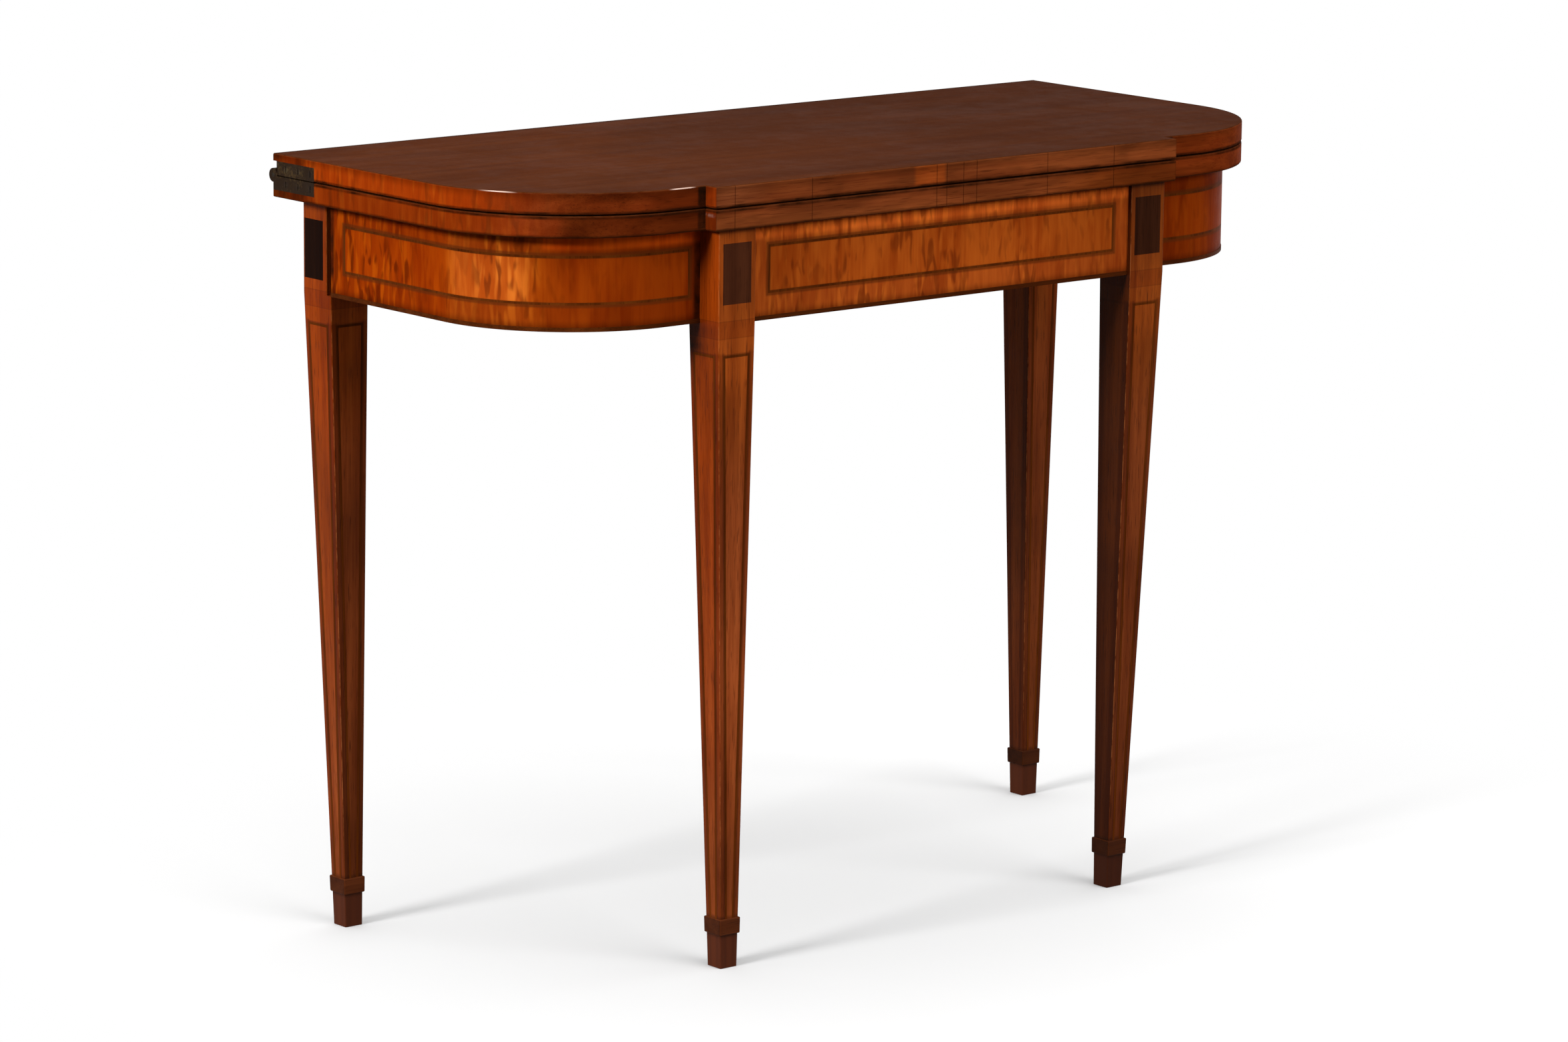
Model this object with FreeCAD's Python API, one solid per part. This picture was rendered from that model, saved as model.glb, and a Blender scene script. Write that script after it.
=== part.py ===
import FreeCAD, Part
import math
import os

os.makedirs("parts", exist_ok=True)
Vec = FreeCAD.Vector

# A fold-over card table with a breakfront D plan. Millimetres, +Z up, the front faces -Y, +X is the
# right-hand end seen from the front. The origin is on the floor, under the middle of the closed table.

# Driving dimensions: the top
table_height = 737.0
top_width = 953.0
top_depth = 416.5
corner_radius = 158.0        # plan radius of the bowed ends of a leaf
bow_flat = 34.5              # straight run of a leaf's edge from the bow to the break
break_step = 15.0            # how far the straight middle stands in front of the bows
leaf_thickness = 20.0        # alike, so that the open leaf lies level on the swung legs
leaf_gap = 1.0               # between the closed leaves
leaf_edge_round = 1.5
baize_border = 42.0          # wood left showing round the baize
baize_thickness = 1.0
baize_recess = 1.2
baize_clearance = 0.3
baize_back_margin = 0.5

# Driving dimensions: the hinges in the end edges
hinge_axis_offset = 0.3      # the axis stands behind the back edges by this much
eye_radius = 6.5
eye_thickness = 3.6
eye_gap = 0.2                # between the two eyes of a hinge
eye_clearance = 0.4          # round the eyes, in the leaves and in the other plate
plate_length = 65.0
plate_height = 13.0
plate_thickness = 3.0
plate_root = 7.0             # length of the thick part that carries the inner eye
plate_clearance = 0.1
hinge_pin_radius = 2.0
hinge_screw_count = 3
hinge_screw_head = 3.2       # radius
hinge_screw_shank = 1.6      # radius
hinge_screw_length = 16.0
hinge_screw_margin = 6.4     # screw's centre from the end of its plate

# Driving dimensions: the frieze
frieze_height = 87.5
rail_thickness = 22.0
end_overhang = 18.0          # leaf edge past the bowed rails
front_overhang = 10.3        # leaf edge past the front rail
string_width = 2.4
string_depth = 1.2
string_bed = 0.1             # glue space behind a curved string
panel_height = 45.0          # string rectangle, over its outer edges
inlay_rise = 3.0             # string rectangles and tablets above the frieze's middle
panel_end_margin = 18.5      # from the string rectangle to a leg, front rail
bow_front_margin = 11.5      # from the string rectangle to the front leg, bowed rail
bow_rear_margin = 20.5       # from the string rectangle to the rear end, bowed rail
banding_height = 4.0
banding_depth = 1.6
banding_proud = 0.5

# Driving dimensions: the legs
leg_side = 43.0
foot_side = 19.5
leg_edge_ease = 1.0          # radius of the eased upright edges
ease_flats = 3               # flats that make up an eased edge
leg_proud = 4.5              # front legs stand in front of the front rail
break_overhang = 8.5         # leaf past the outer face of a front leg, at the break
front_lean_in = 10.3         # how far a front foot's centre lies inward of its die's centre
front_lean_back = 4.5
rear_lean_in = 5.0
rear_lean_forward = 8.8
rear_leg_recess = 0.2        # rear leg behind the plane of the bowed rail's end
rear_leg_setback = 22.0      # rear leg from the back edge of the leaf
rear_die_rebate = 6.5        # front of the rear die cut back, above the taper
collar_bottom = 32.0
collar_height = 15.5
collar_proud = 1.6
collar_round = 1.2           # radius of its outer edges
tablet_height = 56.0
front_tablet_width = 33.0
rear_tablet_width = 29.0
rear_tablet_shift = 1.5      # rear tablet's middle behind the die's
rear_tablet_drop = 5.4       # rear tablets lower than the front ones
tablet_thickness = 2.0
leg_string_inset = 5.4
leg_string_drop = 28.0       # from the frieze's lower edge to the top of the leg's string

# Driving dimensions: the carcass joints
tenon_thickness = 8.0
tenon_shoulder = 12.0        # above and below a tenon
tenon_length = 18.0
stub_tenon_length = 10.0
mortise_clearance = 0.1
mortise_end_gap = 1.0
brace_thickness = 20.0
brace_height = 60.0
brace_bay = 84.0             # clear space between a brace and the front leg beside it
block_clearance = 12.0       # from a glue block to the leg and the brace beside it
block_size = 16.0
top_screw_radius = 2.5
top_screw_head = 5.0
top_screw_bite = 12.0        # into the leaf
top_screw_cover = 24.0       # wood of the brace above the screw's head
top_screw_bore = 7.0         # radius of the counterbore
top_screw_inset = 60.0       # from the rails

# Driving dimensions: the swinging rear legs
fly_rail_thickness = 20.0
fly_bottom_rise = 6.0        # rail's lower edge above the frieze's
fly_top_clearance = 0.8      # under the leaf
fly_rail_drop = 0.7          # rail's top below the leg's top
knuckle_spacing = 120.0      # between the two knuckle pins
knuckle_clearance = 0.4
finger_count = 5
finger_gap = 0.4
knuckle_pin_radius = 3.0
running_clearance = 0.05
rail_end_clearance = 1.0     # fixed rails behind the front of the rear legs
block_screw_radius = 2.5
block_screw_head = 4.8
block_screw_length = 40.0
block_screw_spread = 40.0
screw_clearance = 0.05
slot_width = 1.0
slot_depth = 0.8

# Working values
cut_past = 1.0               # cutting forms reach this far past the faces they cut
level_tolerance = 1e-6

# Heights
leaf_top = table_height
axis_z = leaf_top - leaf_thickness - leaf_gap / 2
upper_face = axis_z + leaf_gap / 2
lower_face = axis_z - leaf_gap / 2
frieze_top = lower_face - leaf_thickness
frieze_bottom = frieze_top - frieze_height
inlay_middle = (frieze_top + frieze_bottom) / 2 + inlay_rise
collar_top = collar_bottom + collar_height
fly_leg_top = frieze_top - fly_top_clearance
fly_rail_top = fly_leg_top - fly_rail_drop
fly_rail_bottom = frieze_bottom + fly_bottom_rise
fly_rail_height = fly_rail_top - fly_rail_bottom

# Plan
half_width = top_width / 2
hinge_reach = hinge_axis_offset + eye_radius
back_y = (top_depth - hinge_reach) / 2
front_y = back_y - top_depth
axis_y = back_y + hinge_axis_offset
bow_centre_x = half_width - corner_radius
bow_centre_y = front_y + break_step + corner_radius
middle_half = bow_centre_x - bow_flat
frieze_half = half_width - end_overhang
frieze_radius = corner_radius - end_overhang
bow_end_y = bow_centre_y - frieze_radius
front_rail_y = front_y + front_overhang
front_rail_back = front_rail_y + rail_thickness

front_leg_outer = middle_half - break_overhang
front_leg_inner = front_leg_outer - leg_side
front_leg_y = front_rail_y - leg_proud
brace_x = front_leg_inner - brace_bay - brace_thickness / 2
block_length = brace_bay - 2 * block_clearance
front_leg_back = front_leg_y + leg_side
rear_leg_outer = frieze_half - rear_leg_recess
rear_leg_inner = rear_leg_outer - leg_side
rear_leg_back = back_y - rear_leg_setback
rear_leg_front = rear_leg_back - leg_side
rear_die_front = rear_leg_front + rear_die_rebate
rail_end_y = rear_leg_front - rail_end_clearance
inner_rail_front = rail_end_y - rail_thickness

knuckle_x = knuckle_spacing / 2
fly_rail_front = rear_die_front
fly_rail_back = fly_rail_front + fly_rail_thickness
knuckle_y = (fly_rail_front + fly_rail_back) / 2
knuckle_radius = fly_rail_thickness / 2
knuckle_reach = knuckle_radius + knuckle_clearance
finger_height = (fly_rail_height - (finger_count - 1) * finger_gap) / finger_count
tenon_bottom = frieze_bottom + tenon_shoulder
tenon_top = frieze_top - tenon_shoulder
panel_bottom = inlay_middle - panel_height / 2
panel_top = inlay_middle + panel_height / 2
tablet_bottom = inlay_middle - tablet_height / 2
tablet_top = inlay_middle + tablet_height / 2
far = top_width              # long enough to cut past any edge


# Basic forms

def box(x0, x1, y0, y1, z0, z1):
    corner = Vec(min(x0, x1), min(y0, y1), min(z0, z1))
    return Part.makeBox(abs(x1 - x0), abs(y1 - y0), abs(z1 - z0), corner)


def mirrored(shape):
    return shape.mirror(Vec(0, 0, 0), Vec(1, 0, 0))


def line(start, end):
    return Part.LineSegment(start, end).toShape()


def quarter_arc(centre_x, radius, z):
    # from the end face round to the front, on the side of the table where centre_x is
    side = math.copysign(1.0, centre_x)
    diagonal = radius * math.sqrt(0.5)
    start = Vec(centre_x + side * radius, bow_centre_y, z)
    middle = Vec(centre_x + side * diagonal, bow_centre_y - diagonal, z)
    end = Vec(centre_x, bow_centre_y - radius, z)
    return Part.Arc(start, middle, end).toShape()


def joined(edges):
    return Part.Face(Part.Wire(Part.__sortEdges__(edges)))


def sharp_ring(section):
    x0, x1, y0, y1, z = section
    return [Vec(x0, y0, z), Vec(x1, y0, z), Vec(x1, y1, z), Vec(x0, y1, z)]


def eased_ring(section):
    x0, x1, y0, y1, z = section
    centres = sharp_ring((x0 + leg_edge_ease, x1 - leg_edge_ease, y0 + leg_edge_ease, y1 - leg_edge_ease, z))
    ring = []
    for i, centre in enumerate(centres):
        for j in range(ease_flats + 1):
            angle = math.pi + math.pi / 2 * (i + j / ease_flats)
            ring.append(centre + Vec(math.cos(angle), math.sin(angle), 0) * leg_edge_ease)
    return ring


def tapered(bottom, top):
    # solid with flat sides between two level rings of as many points
    polygons = [bottom[::-1], top]
    for i in range(len(bottom)):
        j = (i + 1) % len(bottom)
        polygons.append([bottom[i], bottom[j], top[j], top[i]])
    faces = [Part.Face(Part.makePolygon(polygon + polygon[:1])) for polygon in polygons]
    solid = Part.Solid(Part.Shell(faces))
    if solid.Volume < 0:
        solid.reverse()
    return solid


def screw_form(point, direction, head, shank, length, grow):
    # countersunk screw with its head's face at point; grow makes the hole that takes it
    head_depth = head - shank
    cone = Part.makeCone(head + grow, shank + grow, head_depth, point, direction)
    stem_start = point + direction * head_depth
    stem = Part.makeCylinder(shank + grow, length - head_depth + grow, stem_start, direction)
    return cone.fuse(stem).removeSplitter()


def screw(point, direction, head, shank, length):
    body = screw_form(point, direction, head, shank, length, 0.0)
    reach = 2 * head
    slot = Part.makeBox(2 * reach, slot_width, 2 * slot_depth, Vec(-reach, -slot_width / 2, -slot_depth))
    slot.Placement = FreeCAD.Placement(point, FreeCAD.Rotation(Vec(0, 0, 1), direction))
    return body.cut(slot)


# The top

def leaf_face(inset, back_inset, z):
    side = half_width - inset
    radius = corner_radius - inset
    bow_front = bow_centre_y - radius
    middle_x = middle_half - inset
    middle_front = front_y + inset
    back = back_y - back_inset
    edges = [line(Vec(-side, back, z), Vec(side, back, z))]
    edges.append(line(Vec(-middle_x, middle_front, z), Vec(middle_x, middle_front, z)))
    for sign in (-1, 1):
        edges.append(line(Vec(sign * side, back, z), Vec(sign * side, bow_centre_y, z)))
        edges.append(quarter_arc(sign * bow_centre_x, radius, z))
        edges.append(line(Vec(sign * bow_centre_x, bow_front, z), Vec(sign * middle_x, bow_front, z)))
        edges.append(line(Vec(sign * middle_x, bow_front, z), Vec(sign * middle_x, middle_front, z)))
    return joined(edges)


def leaf_blank(z):
    blank = leaf_face(0.0, 0.0, z).extrude(Vec(0, 0, leaf_thickness))
    rounded = []
    for edge in blank.Edges:
        bounds = edge.BoundBox
        level = bounds.ZLength < level_tolerance
        at_back = bounds.YMin > back_y - level_tolerance
        if level and not at_back:
            rounded.append(edge)
    return blank.makeFillet(leaf_edge_round, rounded)


def baize_bed(z, height):
    # the bed runs out through the back edge, so that the two cloths meet when the table is open
    return leaf_face(baize_border, -cut_past, z).extrude(Vec(0, 0, height))


def baize(z):
    face = leaf_face(baize_border + baize_clearance, baize_back_margin, z)
    return face.extrude(Vec(0, 0, baize_thickness))


# Hinges, right-hand end

def hinge_round(radius, x0, x1):
    return Part.makeCylinder(radius, x1 - x0, Vec(x0, axis_y, axis_z), Vec(1, 0, 0))


def hinge_screw_points(z):
    first = plate_root + eye_radius + hinge_screw_margin
    step = (plate_length - first - hinge_screw_margin) / (hinge_screw_count - 1)
    return [Vec(half_width, back_y - first - i * step, z) for i in range(hinge_screw_count)]


outer_eye_x = half_width - eye_thickness
inner_eye_x1 = outer_eye_x - eye_gap
inner_eye_x0 = inner_eye_x1 - eye_thickness
root_y = back_y - eye_radius - eye_clearance - plate_root
inward = Vec(-1, 0, 0)
upper_screw_z = upper_face + plate_height / 2
lower_screw_z = lower_face - plate_height / 2


def hinge_lower_plate():
    plate = box(half_width - plate_thickness, half_width, back_y - plate_length, back_y,
                lower_face - plate_height, lower_face)
    plate = plate.fuse(hinge_round(eye_radius, outer_eye_x, half_width))
    plate = plate.cut(hinge_round(hinge_pin_radius + screw_clearance, outer_eye_x - cut_past,
                                  half_width + cut_past))
    for point in hinge_screw_points(lower_screw_z):
        plate = plate.cut(screw_form(point, inward, hinge_screw_head, hinge_screw_shank,
                                     hinge_screw_length, screw_clearance))
    return plate.removeSplitter()


def hinge_upper_blank(grow):
    # plate in the outer layer, and a root that steps in to the inner eye
    top = upper_face + plate_height + grow
    plate = box(half_width - plate_thickness - grow, half_width, back_y - plate_length - grow, back_y,
                upper_face, top)
    root = box(inner_eye_x0 - grow, half_width, root_y - grow, back_y, upper_face, top)
    return plate.fuse(root)


def hinge_upper_plate():
    plate = hinge_upper_blank(0.0)
    plate = plate.cut(hinge_round(eye_radius + eye_clearance, inner_eye_x1, half_width + cut_past))
    back_corner = box(inner_eye_x1, half_width + cut_past,
                      axis_y - eye_radius - eye_clearance, back_y + cut_past,
                      upper_face - cut_past, upper_face + plate_height + cut_past)
    plate = plate.cut(back_corner)
    plate = plate.fuse(hinge_round(eye_radius, inner_eye_x0, inner_eye_x1))
    plate = plate.cut(hinge_round(hinge_pin_radius + running_clearance, inner_eye_x0 - cut_past,
                                  inner_eye_x1 + cut_past))
    for point in hinge_screw_points(upper_screw_z):
        plate = plate.cut(screw_form(point, inward, hinge_screw_head, hinge_screw_shank,
                                     hinge_screw_length, screw_clearance))
    return plate.removeSplitter()


def hinge_pin():
    return hinge_round(hinge_pin_radius, inner_eye_x0, half_width)


def hinge_screws(z):
    right = [screw(point, inward, hinge_screw_head, hinge_screw_shank, hinge_screw_length)
             for point in hinge_screw_points(z)]
    return right + [mirrored(one) for one in right]


def hinge_seat(upper):
    # what one leaf loses at its right-hand rear corner
    if upper:
        root = box(inner_eye_x0 - plate_clearance, half_width + cut_past,
                   root_y - plate_clearance, back_y + cut_past,
                   upper_face - cut_past, upper_face + plate_height + plate_clearance)
        seat = hinge_upper_blank(plate_clearance).fuse(root)
        seat_z = upper_screw_z
    else:
        seat = box(half_width - plate_thickness - plate_clearance, half_width + cut_past,
                   back_y - plate_length - plate_clearance, back_y + cut_past,
                   lower_face - plate_height - plate_clearance, lower_face + cut_past)
        seat_z = lower_screw_z
    seat = seat.fuse(hinge_round(eye_radius + eye_clearance, inner_eye_x0 - eye_clearance,
                                 half_width + cut_past))
    for point in hinge_screw_points(seat_z):
        seat = seat.fuse(screw_form(point, inward, hinge_screw_head, hinge_screw_shank,
                                    hinge_screw_length, screw_clearance))
    return seat


def upper_leaf():
    leaf = leaf_blank(upper_face)
    leaf = leaf.cut(baize_bed(upper_face - cut_past, baize_recess + cut_past))
    seat = hinge_seat(True)
    return leaf.cut(seat).cut(mirrored(seat))


def lower_leaf():
    leaf = leaf_blank(frieze_top)
    leaf = leaf.cut(baize_bed(lower_face - baize_recess, baize_recess + cut_past))
    seat = hinge_seat(False)
    leaf = leaf.cut(seat).cut(mirrored(seat))
    for point in top_screw_points():
        leaf = leaf.cut(top_screw_form(point, screw_clearance))
    return leaf


# Frieze rails

def bow_band(outer, inner, z0, z1):
    # band round the right-hand end, between two depths behind the frieze's face
    edges = []
    rear = []
    front = []
    for depth in (outer, inner):
        side = frieze_half - depth
        radius = frieze_radius - depth
        rear.append(Vec(side, rail_end_y, z0))
        front.append(Vec(front_leg_outer, bow_centre_y - radius, z0))
        edges.append(line(rear[-1], Vec(side, bow_centre_y, z0)))
        edges.append(quarter_arc(bow_centre_x, radius, z0))
        edges.append(line(Vec(bow_centre_x, bow_centre_y - radius, z0), front[-1]))
    edges.append(line(rear[0], rear[1]))
    edges.append(line(front[0], front[1]))
    return joined(edges).extrude(Vec(0, 0, z1 - z0))


def bow_string(depth):
    # rectangle of string on the bow, cut to its ends square to the rail
    ring = None
    for shrink in (0.0, string_width):
        x0 = front_leg_outer + bow_front_margin + shrink
        y1 = rail_end_y - bow_rear_margin - shrink
        z0 = panel_bottom + shrink
        z1 = panel_top - shrink
        piece = bow_band(0.0, depth, z0, z1).common(box(x0, far, -far, y1, z0, z1))
        ring = piece if ring is None else ring.cut(piece)
    return ring


def bow_banding():
    return bow_band(-banding_proud, banding_depth, frieze_bottom, frieze_bottom + banding_height)


def bow_tenon(grow, end_gap):
    middle = (bow_end_y + front_leg_back) / 2
    half = tenon_thickness / 2 + grow
    return box(front_leg_outer - tenon_length - end_gap, front_leg_outer, middle - half, middle + half,
               tenon_bottom - grow, tenon_top + grow)


def inner_rail_tenon(grow, end_gap):
    middle = (rail_end_y + inner_rail_front) / 2
    half = tenon_thickness / 2 + grow
    start = frieze_half - rail_thickness
    return box(start, start + stub_tenon_length + end_gap, middle - half, middle + half,
               tenon_bottom - grow, tenon_top + grow)


def bow_rail():
    rail = bow_band(0.0, rail_thickness, frieze_bottom, frieze_top)
    rail = rail.cut(bow_string(string_depth + string_bed))
    rebate = bow_band(-cut_past, banding_depth + string_bed, frieze_bottom - cut_past,
                      frieze_bottom + banding_height)
    rail = rail.cut(rebate)
    rail = rail.cut(inner_rail_tenon(mortise_clearance, mortise_end_gap))
    return rail.fuse(bow_tenon(0.0, 0.0)).removeSplitter()


def front_tenon(grow, end_gap):
    middle = (front_rail_y + front_rail_back) / 2
    half = tenon_thickness / 2 + grow
    return box(front_leg_inner, front_leg_inner + tenon_length + end_gap, middle - half, middle + half,
               tenon_bottom - grow, tenon_top + grow)


def front_string():
    x = front_leg_inner - panel_end_margin
    outer = box(-x, x, front_rail_y, front_rail_y + string_depth, panel_bottom, panel_top)
    x = x - string_width
    inner = box(-x, x, front_rail_y - cut_past, front_rail_back, panel_bottom + string_width,
                panel_top - string_width)
    return outer.cut(inner)


def front_banding(grow):
    return box(-front_leg_inner, front_leg_inner, front_rail_y - banding_proud - grow,
               front_rail_y + banding_depth, frieze_bottom - grow, frieze_bottom + banding_height)


def brace_tenons(x, grow, end_gap):
    # stub tenons of one brace, into the front rail and into the inner back rail
    half = tenon_thickness / 2 + grow
    z0 = frieze_top - brace_height + tenon_shoulder - grow
    z1 = frieze_top - tenon_shoulder + grow
    reach = stub_tenon_length + end_gap
    front = box(x - half, x + half, front_rail_back - reach, front_rail_back, z0, z1)
    rear = box(x - half, x + half, inner_rail_front, inner_rail_front + reach, z0, z1)
    return [front, rear]


brace_places = (-brace_x, brace_x)


def front_rail():
    rail = box(-front_leg_inner, front_leg_inner, front_rail_y, front_rail_back, frieze_bottom, frieze_top)
    rail = rail.cut(front_string()).cut(front_banding(cut_past))
    for x in brace_places:
        rail = rail.cut(brace_tenons(x, mortise_clearance, mortise_end_gap)[0])
    tenon = front_tenon(0.0, 0.0)
    return rail.fuse([tenon, mirrored(tenon)]).removeSplitter()


def inner_back_rail():
    x = frieze_half - rail_thickness
    rail = box(-x, x, inner_rail_front, rail_end_y, frieze_bottom, frieze_top)
    for place in brace_places:
        rail = rail.cut(brace_tenons(place, mortise_clearance, mortise_end_gap)[1])
    for point in block_screw_points():
        rail = rail.cut(block_screw_form(point, screw_clearance))
    tenon = inner_rail_tenon(0.0, 0.0)
    return rail.fuse([tenon, mirrored(tenon)]).removeSplitter()


def brace(x):
    half = brace_thickness / 2
    bar = box(x - half, x + half, front_rail_back, inner_rail_front, frieze_top - brace_height, frieze_top)
    for point in top_screw_points():
        if abs(point.x - x) < half:
            start = Vec(point.x, point.y, frieze_top - brace_height)
            bore = Part.makeCylinder(top_screw_bore, brace_height - top_screw_cover, start)
            bar = bar.cut(bore).cut(top_screw_form(point, screw_clearance))
    return bar.fuse(brace_tenons(x, 0.0, 0.0)).removeSplitter()


def top_screw_points():
    z = frieze_top - top_screw_cover
    rows = (front_rail_back + top_screw_inset, inner_rail_front - top_screw_inset)
    return [Vec(x, y, z) for x in brace_places for y in rows]


top_screw_length = top_screw_cover + top_screw_bite


def top_screw_form(point, grow):
    return screw_form(point, Vec(0, 0, 1), top_screw_head, top_screw_radius, top_screw_length, grow)


def top_screws():
    up = Vec(0, 0, 1)
    return [screw(point, up, top_screw_head, top_screw_radius, top_screw_length)
            for point in top_screw_points()]


def glue_blocks():
    # rubbed into the corners between rails and leaf, at the middle and between a brace and a front leg
    outer = front_leg_inner - brace_bay / 2
    half = block_length / 2
    front_row = (front_rail_back, front_rail_back + block_size)
    rear_row = (inner_rail_front - block_size, inner_rail_front)
    blocks = []
    for x in (-outer, 0.0, outer):
        for y0, y1 in (front_row, rear_row):
            blocks.append(box(x - half, x + half, y0, y1, frieze_top - block_size, frieze_top))
    return blocks


# Legs, right-hand side. A leg is its die (x0, x1, y0, y1) and the centre of its foot

front_die = (front_leg_inner, front_leg_outer, front_leg_y, front_leg_back)
rear_die = (rear_leg_inner, rear_leg_outer, rear_leg_front, rear_leg_back)
front_foot = ((front_leg_inner + front_leg_outer) / 2 - front_lean_in,
              (front_leg_y + front_leg_back) / 2 + front_lean_back)
rear_foot = ((rear_leg_inner + rear_leg_outer) / 2 - rear_lean_in,
             (rear_leg_front + rear_leg_back) / 2 - rear_lean_forward)


def leg_section(die, foot, z, grow=0.0):
    # the leg's square at a height, between the foot on the floor and the die at the frieze
    share = z / frieze_bottom
    half = foot_side / 2
    low = (foot[0] - half, foot[0] + half, foot[1] - half, foot[1] + half)
    x0, x1, y0, y1 = [a + (b - a) * share for a, b in zip(low, die)]
    return (x0 - grow, x1 + grow, y0 - grow, y1 + grow, z)


def leg_taper(die, foot):
    low = leg_section(die, foot, 0.0)
    high = leg_section(die, foot, frieze_bottom)
    return tapered(eased_ring(low), eased_ring(high))


def leg_die(die, top):
    return tapered(eased_ring((*die, frieze_bottom)), eased_ring((*die, top)))


def collar(die, foot):
    low = leg_section(die, foot, collar_bottom, collar_proud)
    high = leg_section(die, foot, collar_top, collar_proud)
    band = tapered(sharp_ring(low), sharp_ring(high))
    return band.makeFillet(collar_round, band.Edges).cut(leg_taper(die, foot))


def leg_string(die, foot, on_front):
    # inverted U of string that keeps its distance from the tapering edges, down to the collar
    def point(z, left, inset):
        x0, x1, y0, y1, _ = leg_section(die, foot, z)
        if on_front:
            return Vec(x0 + inset if left else x1 - inset, y0, z)
        return Vec(x1, y0 + inset if left else y1 - inset, z)

    top = frieze_bottom - leg_string_drop
    inset = leg_string_inset + string_width
    outline = [point(collar_top, True, leg_string_inset), point(top, True, leg_string_inset),
               point(top, False, leg_string_inset), point(collar_top, False, leg_string_inset),
               point(collar_top, False, inset), point(top - string_width, False, inset),
               point(top - string_width, True, inset), point(collar_top, True, inset)]
    face = Part.Face(Part.makePolygon(outline + outline[:1]))
    across = outline[2] - outline[1]
    normal = across.cross(outline[0] - outline[1])
    normal.normalize()
    middle = Vec((die[0] + die[1]) / 2, (die[2] + die[3]) / 2, top)
    if normal.dot(middle - outline[1]) < 0:
        normal = normal * -1
    return face.extrude(normal * string_depth)


def front_tablet():
    x = (front_leg_inner + front_leg_outer) / 2
    half = front_tablet_width / 2
    return box(x - half, x + half, front_leg_y, front_leg_y + tablet_thickness, tablet_bottom, tablet_top)


def rear_tablet():
    y = (rear_die_front + rear_leg_back) / 2 + rear_tablet_shift
    half = rear_tablet_width / 2
    return box(rear_leg_outer - tablet_thickness, rear_leg_outer, y - half, y + half,
               tablet_bottom - rear_tablet_drop, tablet_top - rear_tablet_drop)


def front_leg():
    leg = leg_die(front_die, frieze_top).fuse(leg_taper(front_die, front_foot)).removeSplitter()
    leg = leg.cut(front_tenon(mortise_clearance, mortise_end_gap))
    leg = leg.cut(bow_tenon(mortise_clearance, mortise_end_gap))
    leg = leg.cut(front_tablet())
    return leg.cut(leg_strings(front_die, front_foot))


def leg_strings(die, foot):
    return [leg_string(die, foot, True), leg_string(die, foot, False)]


def rear_leg():
    rebated = (rear_leg_inner, rear_leg_outer, rear_die_front, rear_leg_back)
    leg = leg_die(rebated, fly_leg_top).fuse(leg_taper(rear_die, rear_foot)).removeSplitter()
    leg = leg.cut(fly_tenon(mortise_clearance, mortise_end_gap))
    leg = leg.cut(rear_tablet())
    return leg.cut(leg_strings(rear_die, rear_foot))


# Knuckle joints and fly rails, right-hand side

def finger_levels(moving):
    pitch = finger_height + finger_gap
    first = 1 if moving else 0
    return [fly_rail_bottom + i * pitch for i in range(first, finger_count, 2)]


def fingers(direction, moving):
    # rounded fingers round the pin, joined on the given side to the wood that carries them
    made = []
    for z in finger_levels(moving):
        nose = Part.makeCylinder(knuckle_radius, finger_height, Vec(knuckle_x, knuckle_y, z))
        neck_end = knuckle_x + direction * knuckle_reach
        neck = box(knuckle_x, neck_end, fly_rail_front, fly_rail_back, z, z + finger_height)
        made.append(nose.fuse(neck))
    return made


def pin_hole(clearance):
    start = Vec(knuckle_x, knuckle_y, fly_rail_bottom - cut_past)
    return Part.makeCylinder(knuckle_pin_radius + clearance, fly_rail_height + 2 * cut_past, start)


def fly_tenon(grow, end_gap):
    half = tenon_thickness / 2 + grow
    return box(rear_leg_inner, rear_leg_inner + tenon_length + end_gap, knuckle_y - half, knuckle_y + half,
               fly_rail_bottom + tenon_shoulder - grow, fly_rail_top - tenon_shoulder + grow)


def fly_rail():
    rail = box(knuckle_x + knuckle_reach, rear_leg_inner, fly_rail_front, fly_rail_back,
               fly_rail_bottom, fly_rail_top)
    rail = rail.fuse(fingers(1, True) + [fly_tenon(0.0, 0.0)])
    return rail.cut(pin_hole(running_clearance)).removeSplitter()


def knuckle_pin():
    start = Vec(knuckle_x, knuckle_y, fly_rail_bottom)
    return Part.makeCylinder(knuckle_pin_radius, fly_rail_height, start)


def block_screw_points():
    z_middle = (fly_rail_bottom + fly_rail_top) / 2
    half = block_screw_spread / 2
    return [Vec(x, fly_rail_back, z_middle + z) for x in (-half, half) for z in (-half, half)]


def block_screw_form(point, grow):
    return screw_form(point, Vec(0, -1, 0), block_screw_head, block_screw_radius, block_screw_length, grow)


def block_screws():
    into_rail = Vec(0, -1, 0)
    return [screw(point, into_rail, block_screw_head, block_screw_radius, block_screw_length)
            for point in block_screw_points()]


def knuckle_block():
    x = knuckle_x - knuckle_reach
    block = box(-x, x, rail_end_y, fly_rail_back, fly_rail_bottom, fly_rail_top)
    fixed = fingers(-1, False)
    hole = pin_hole(screw_clearance)
    block = block.fuse(fixed + [mirrored(finger) for finger in fixed])
    block = block.cut([hole, mirrored(hole)])
    for point in block_screw_points():
        block = block.cut(block_screw_form(point, screw_clearance))
    return block.removeSplitter()


# One file for each piece; pieces of the right-hand side are mirrored for the left

def save(node, shapes):
    shape = shapes[0] if len(shapes) == 1 else Part.makeCompound(shapes)
    shape.exportStep("parts/" + node + ".step")
    solids = shape.Solids
    volume = round(sum(solid.Volume for solid in solids))
    print(node, len(solids), "solids", volume, "mm3", shape.isValid())


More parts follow.
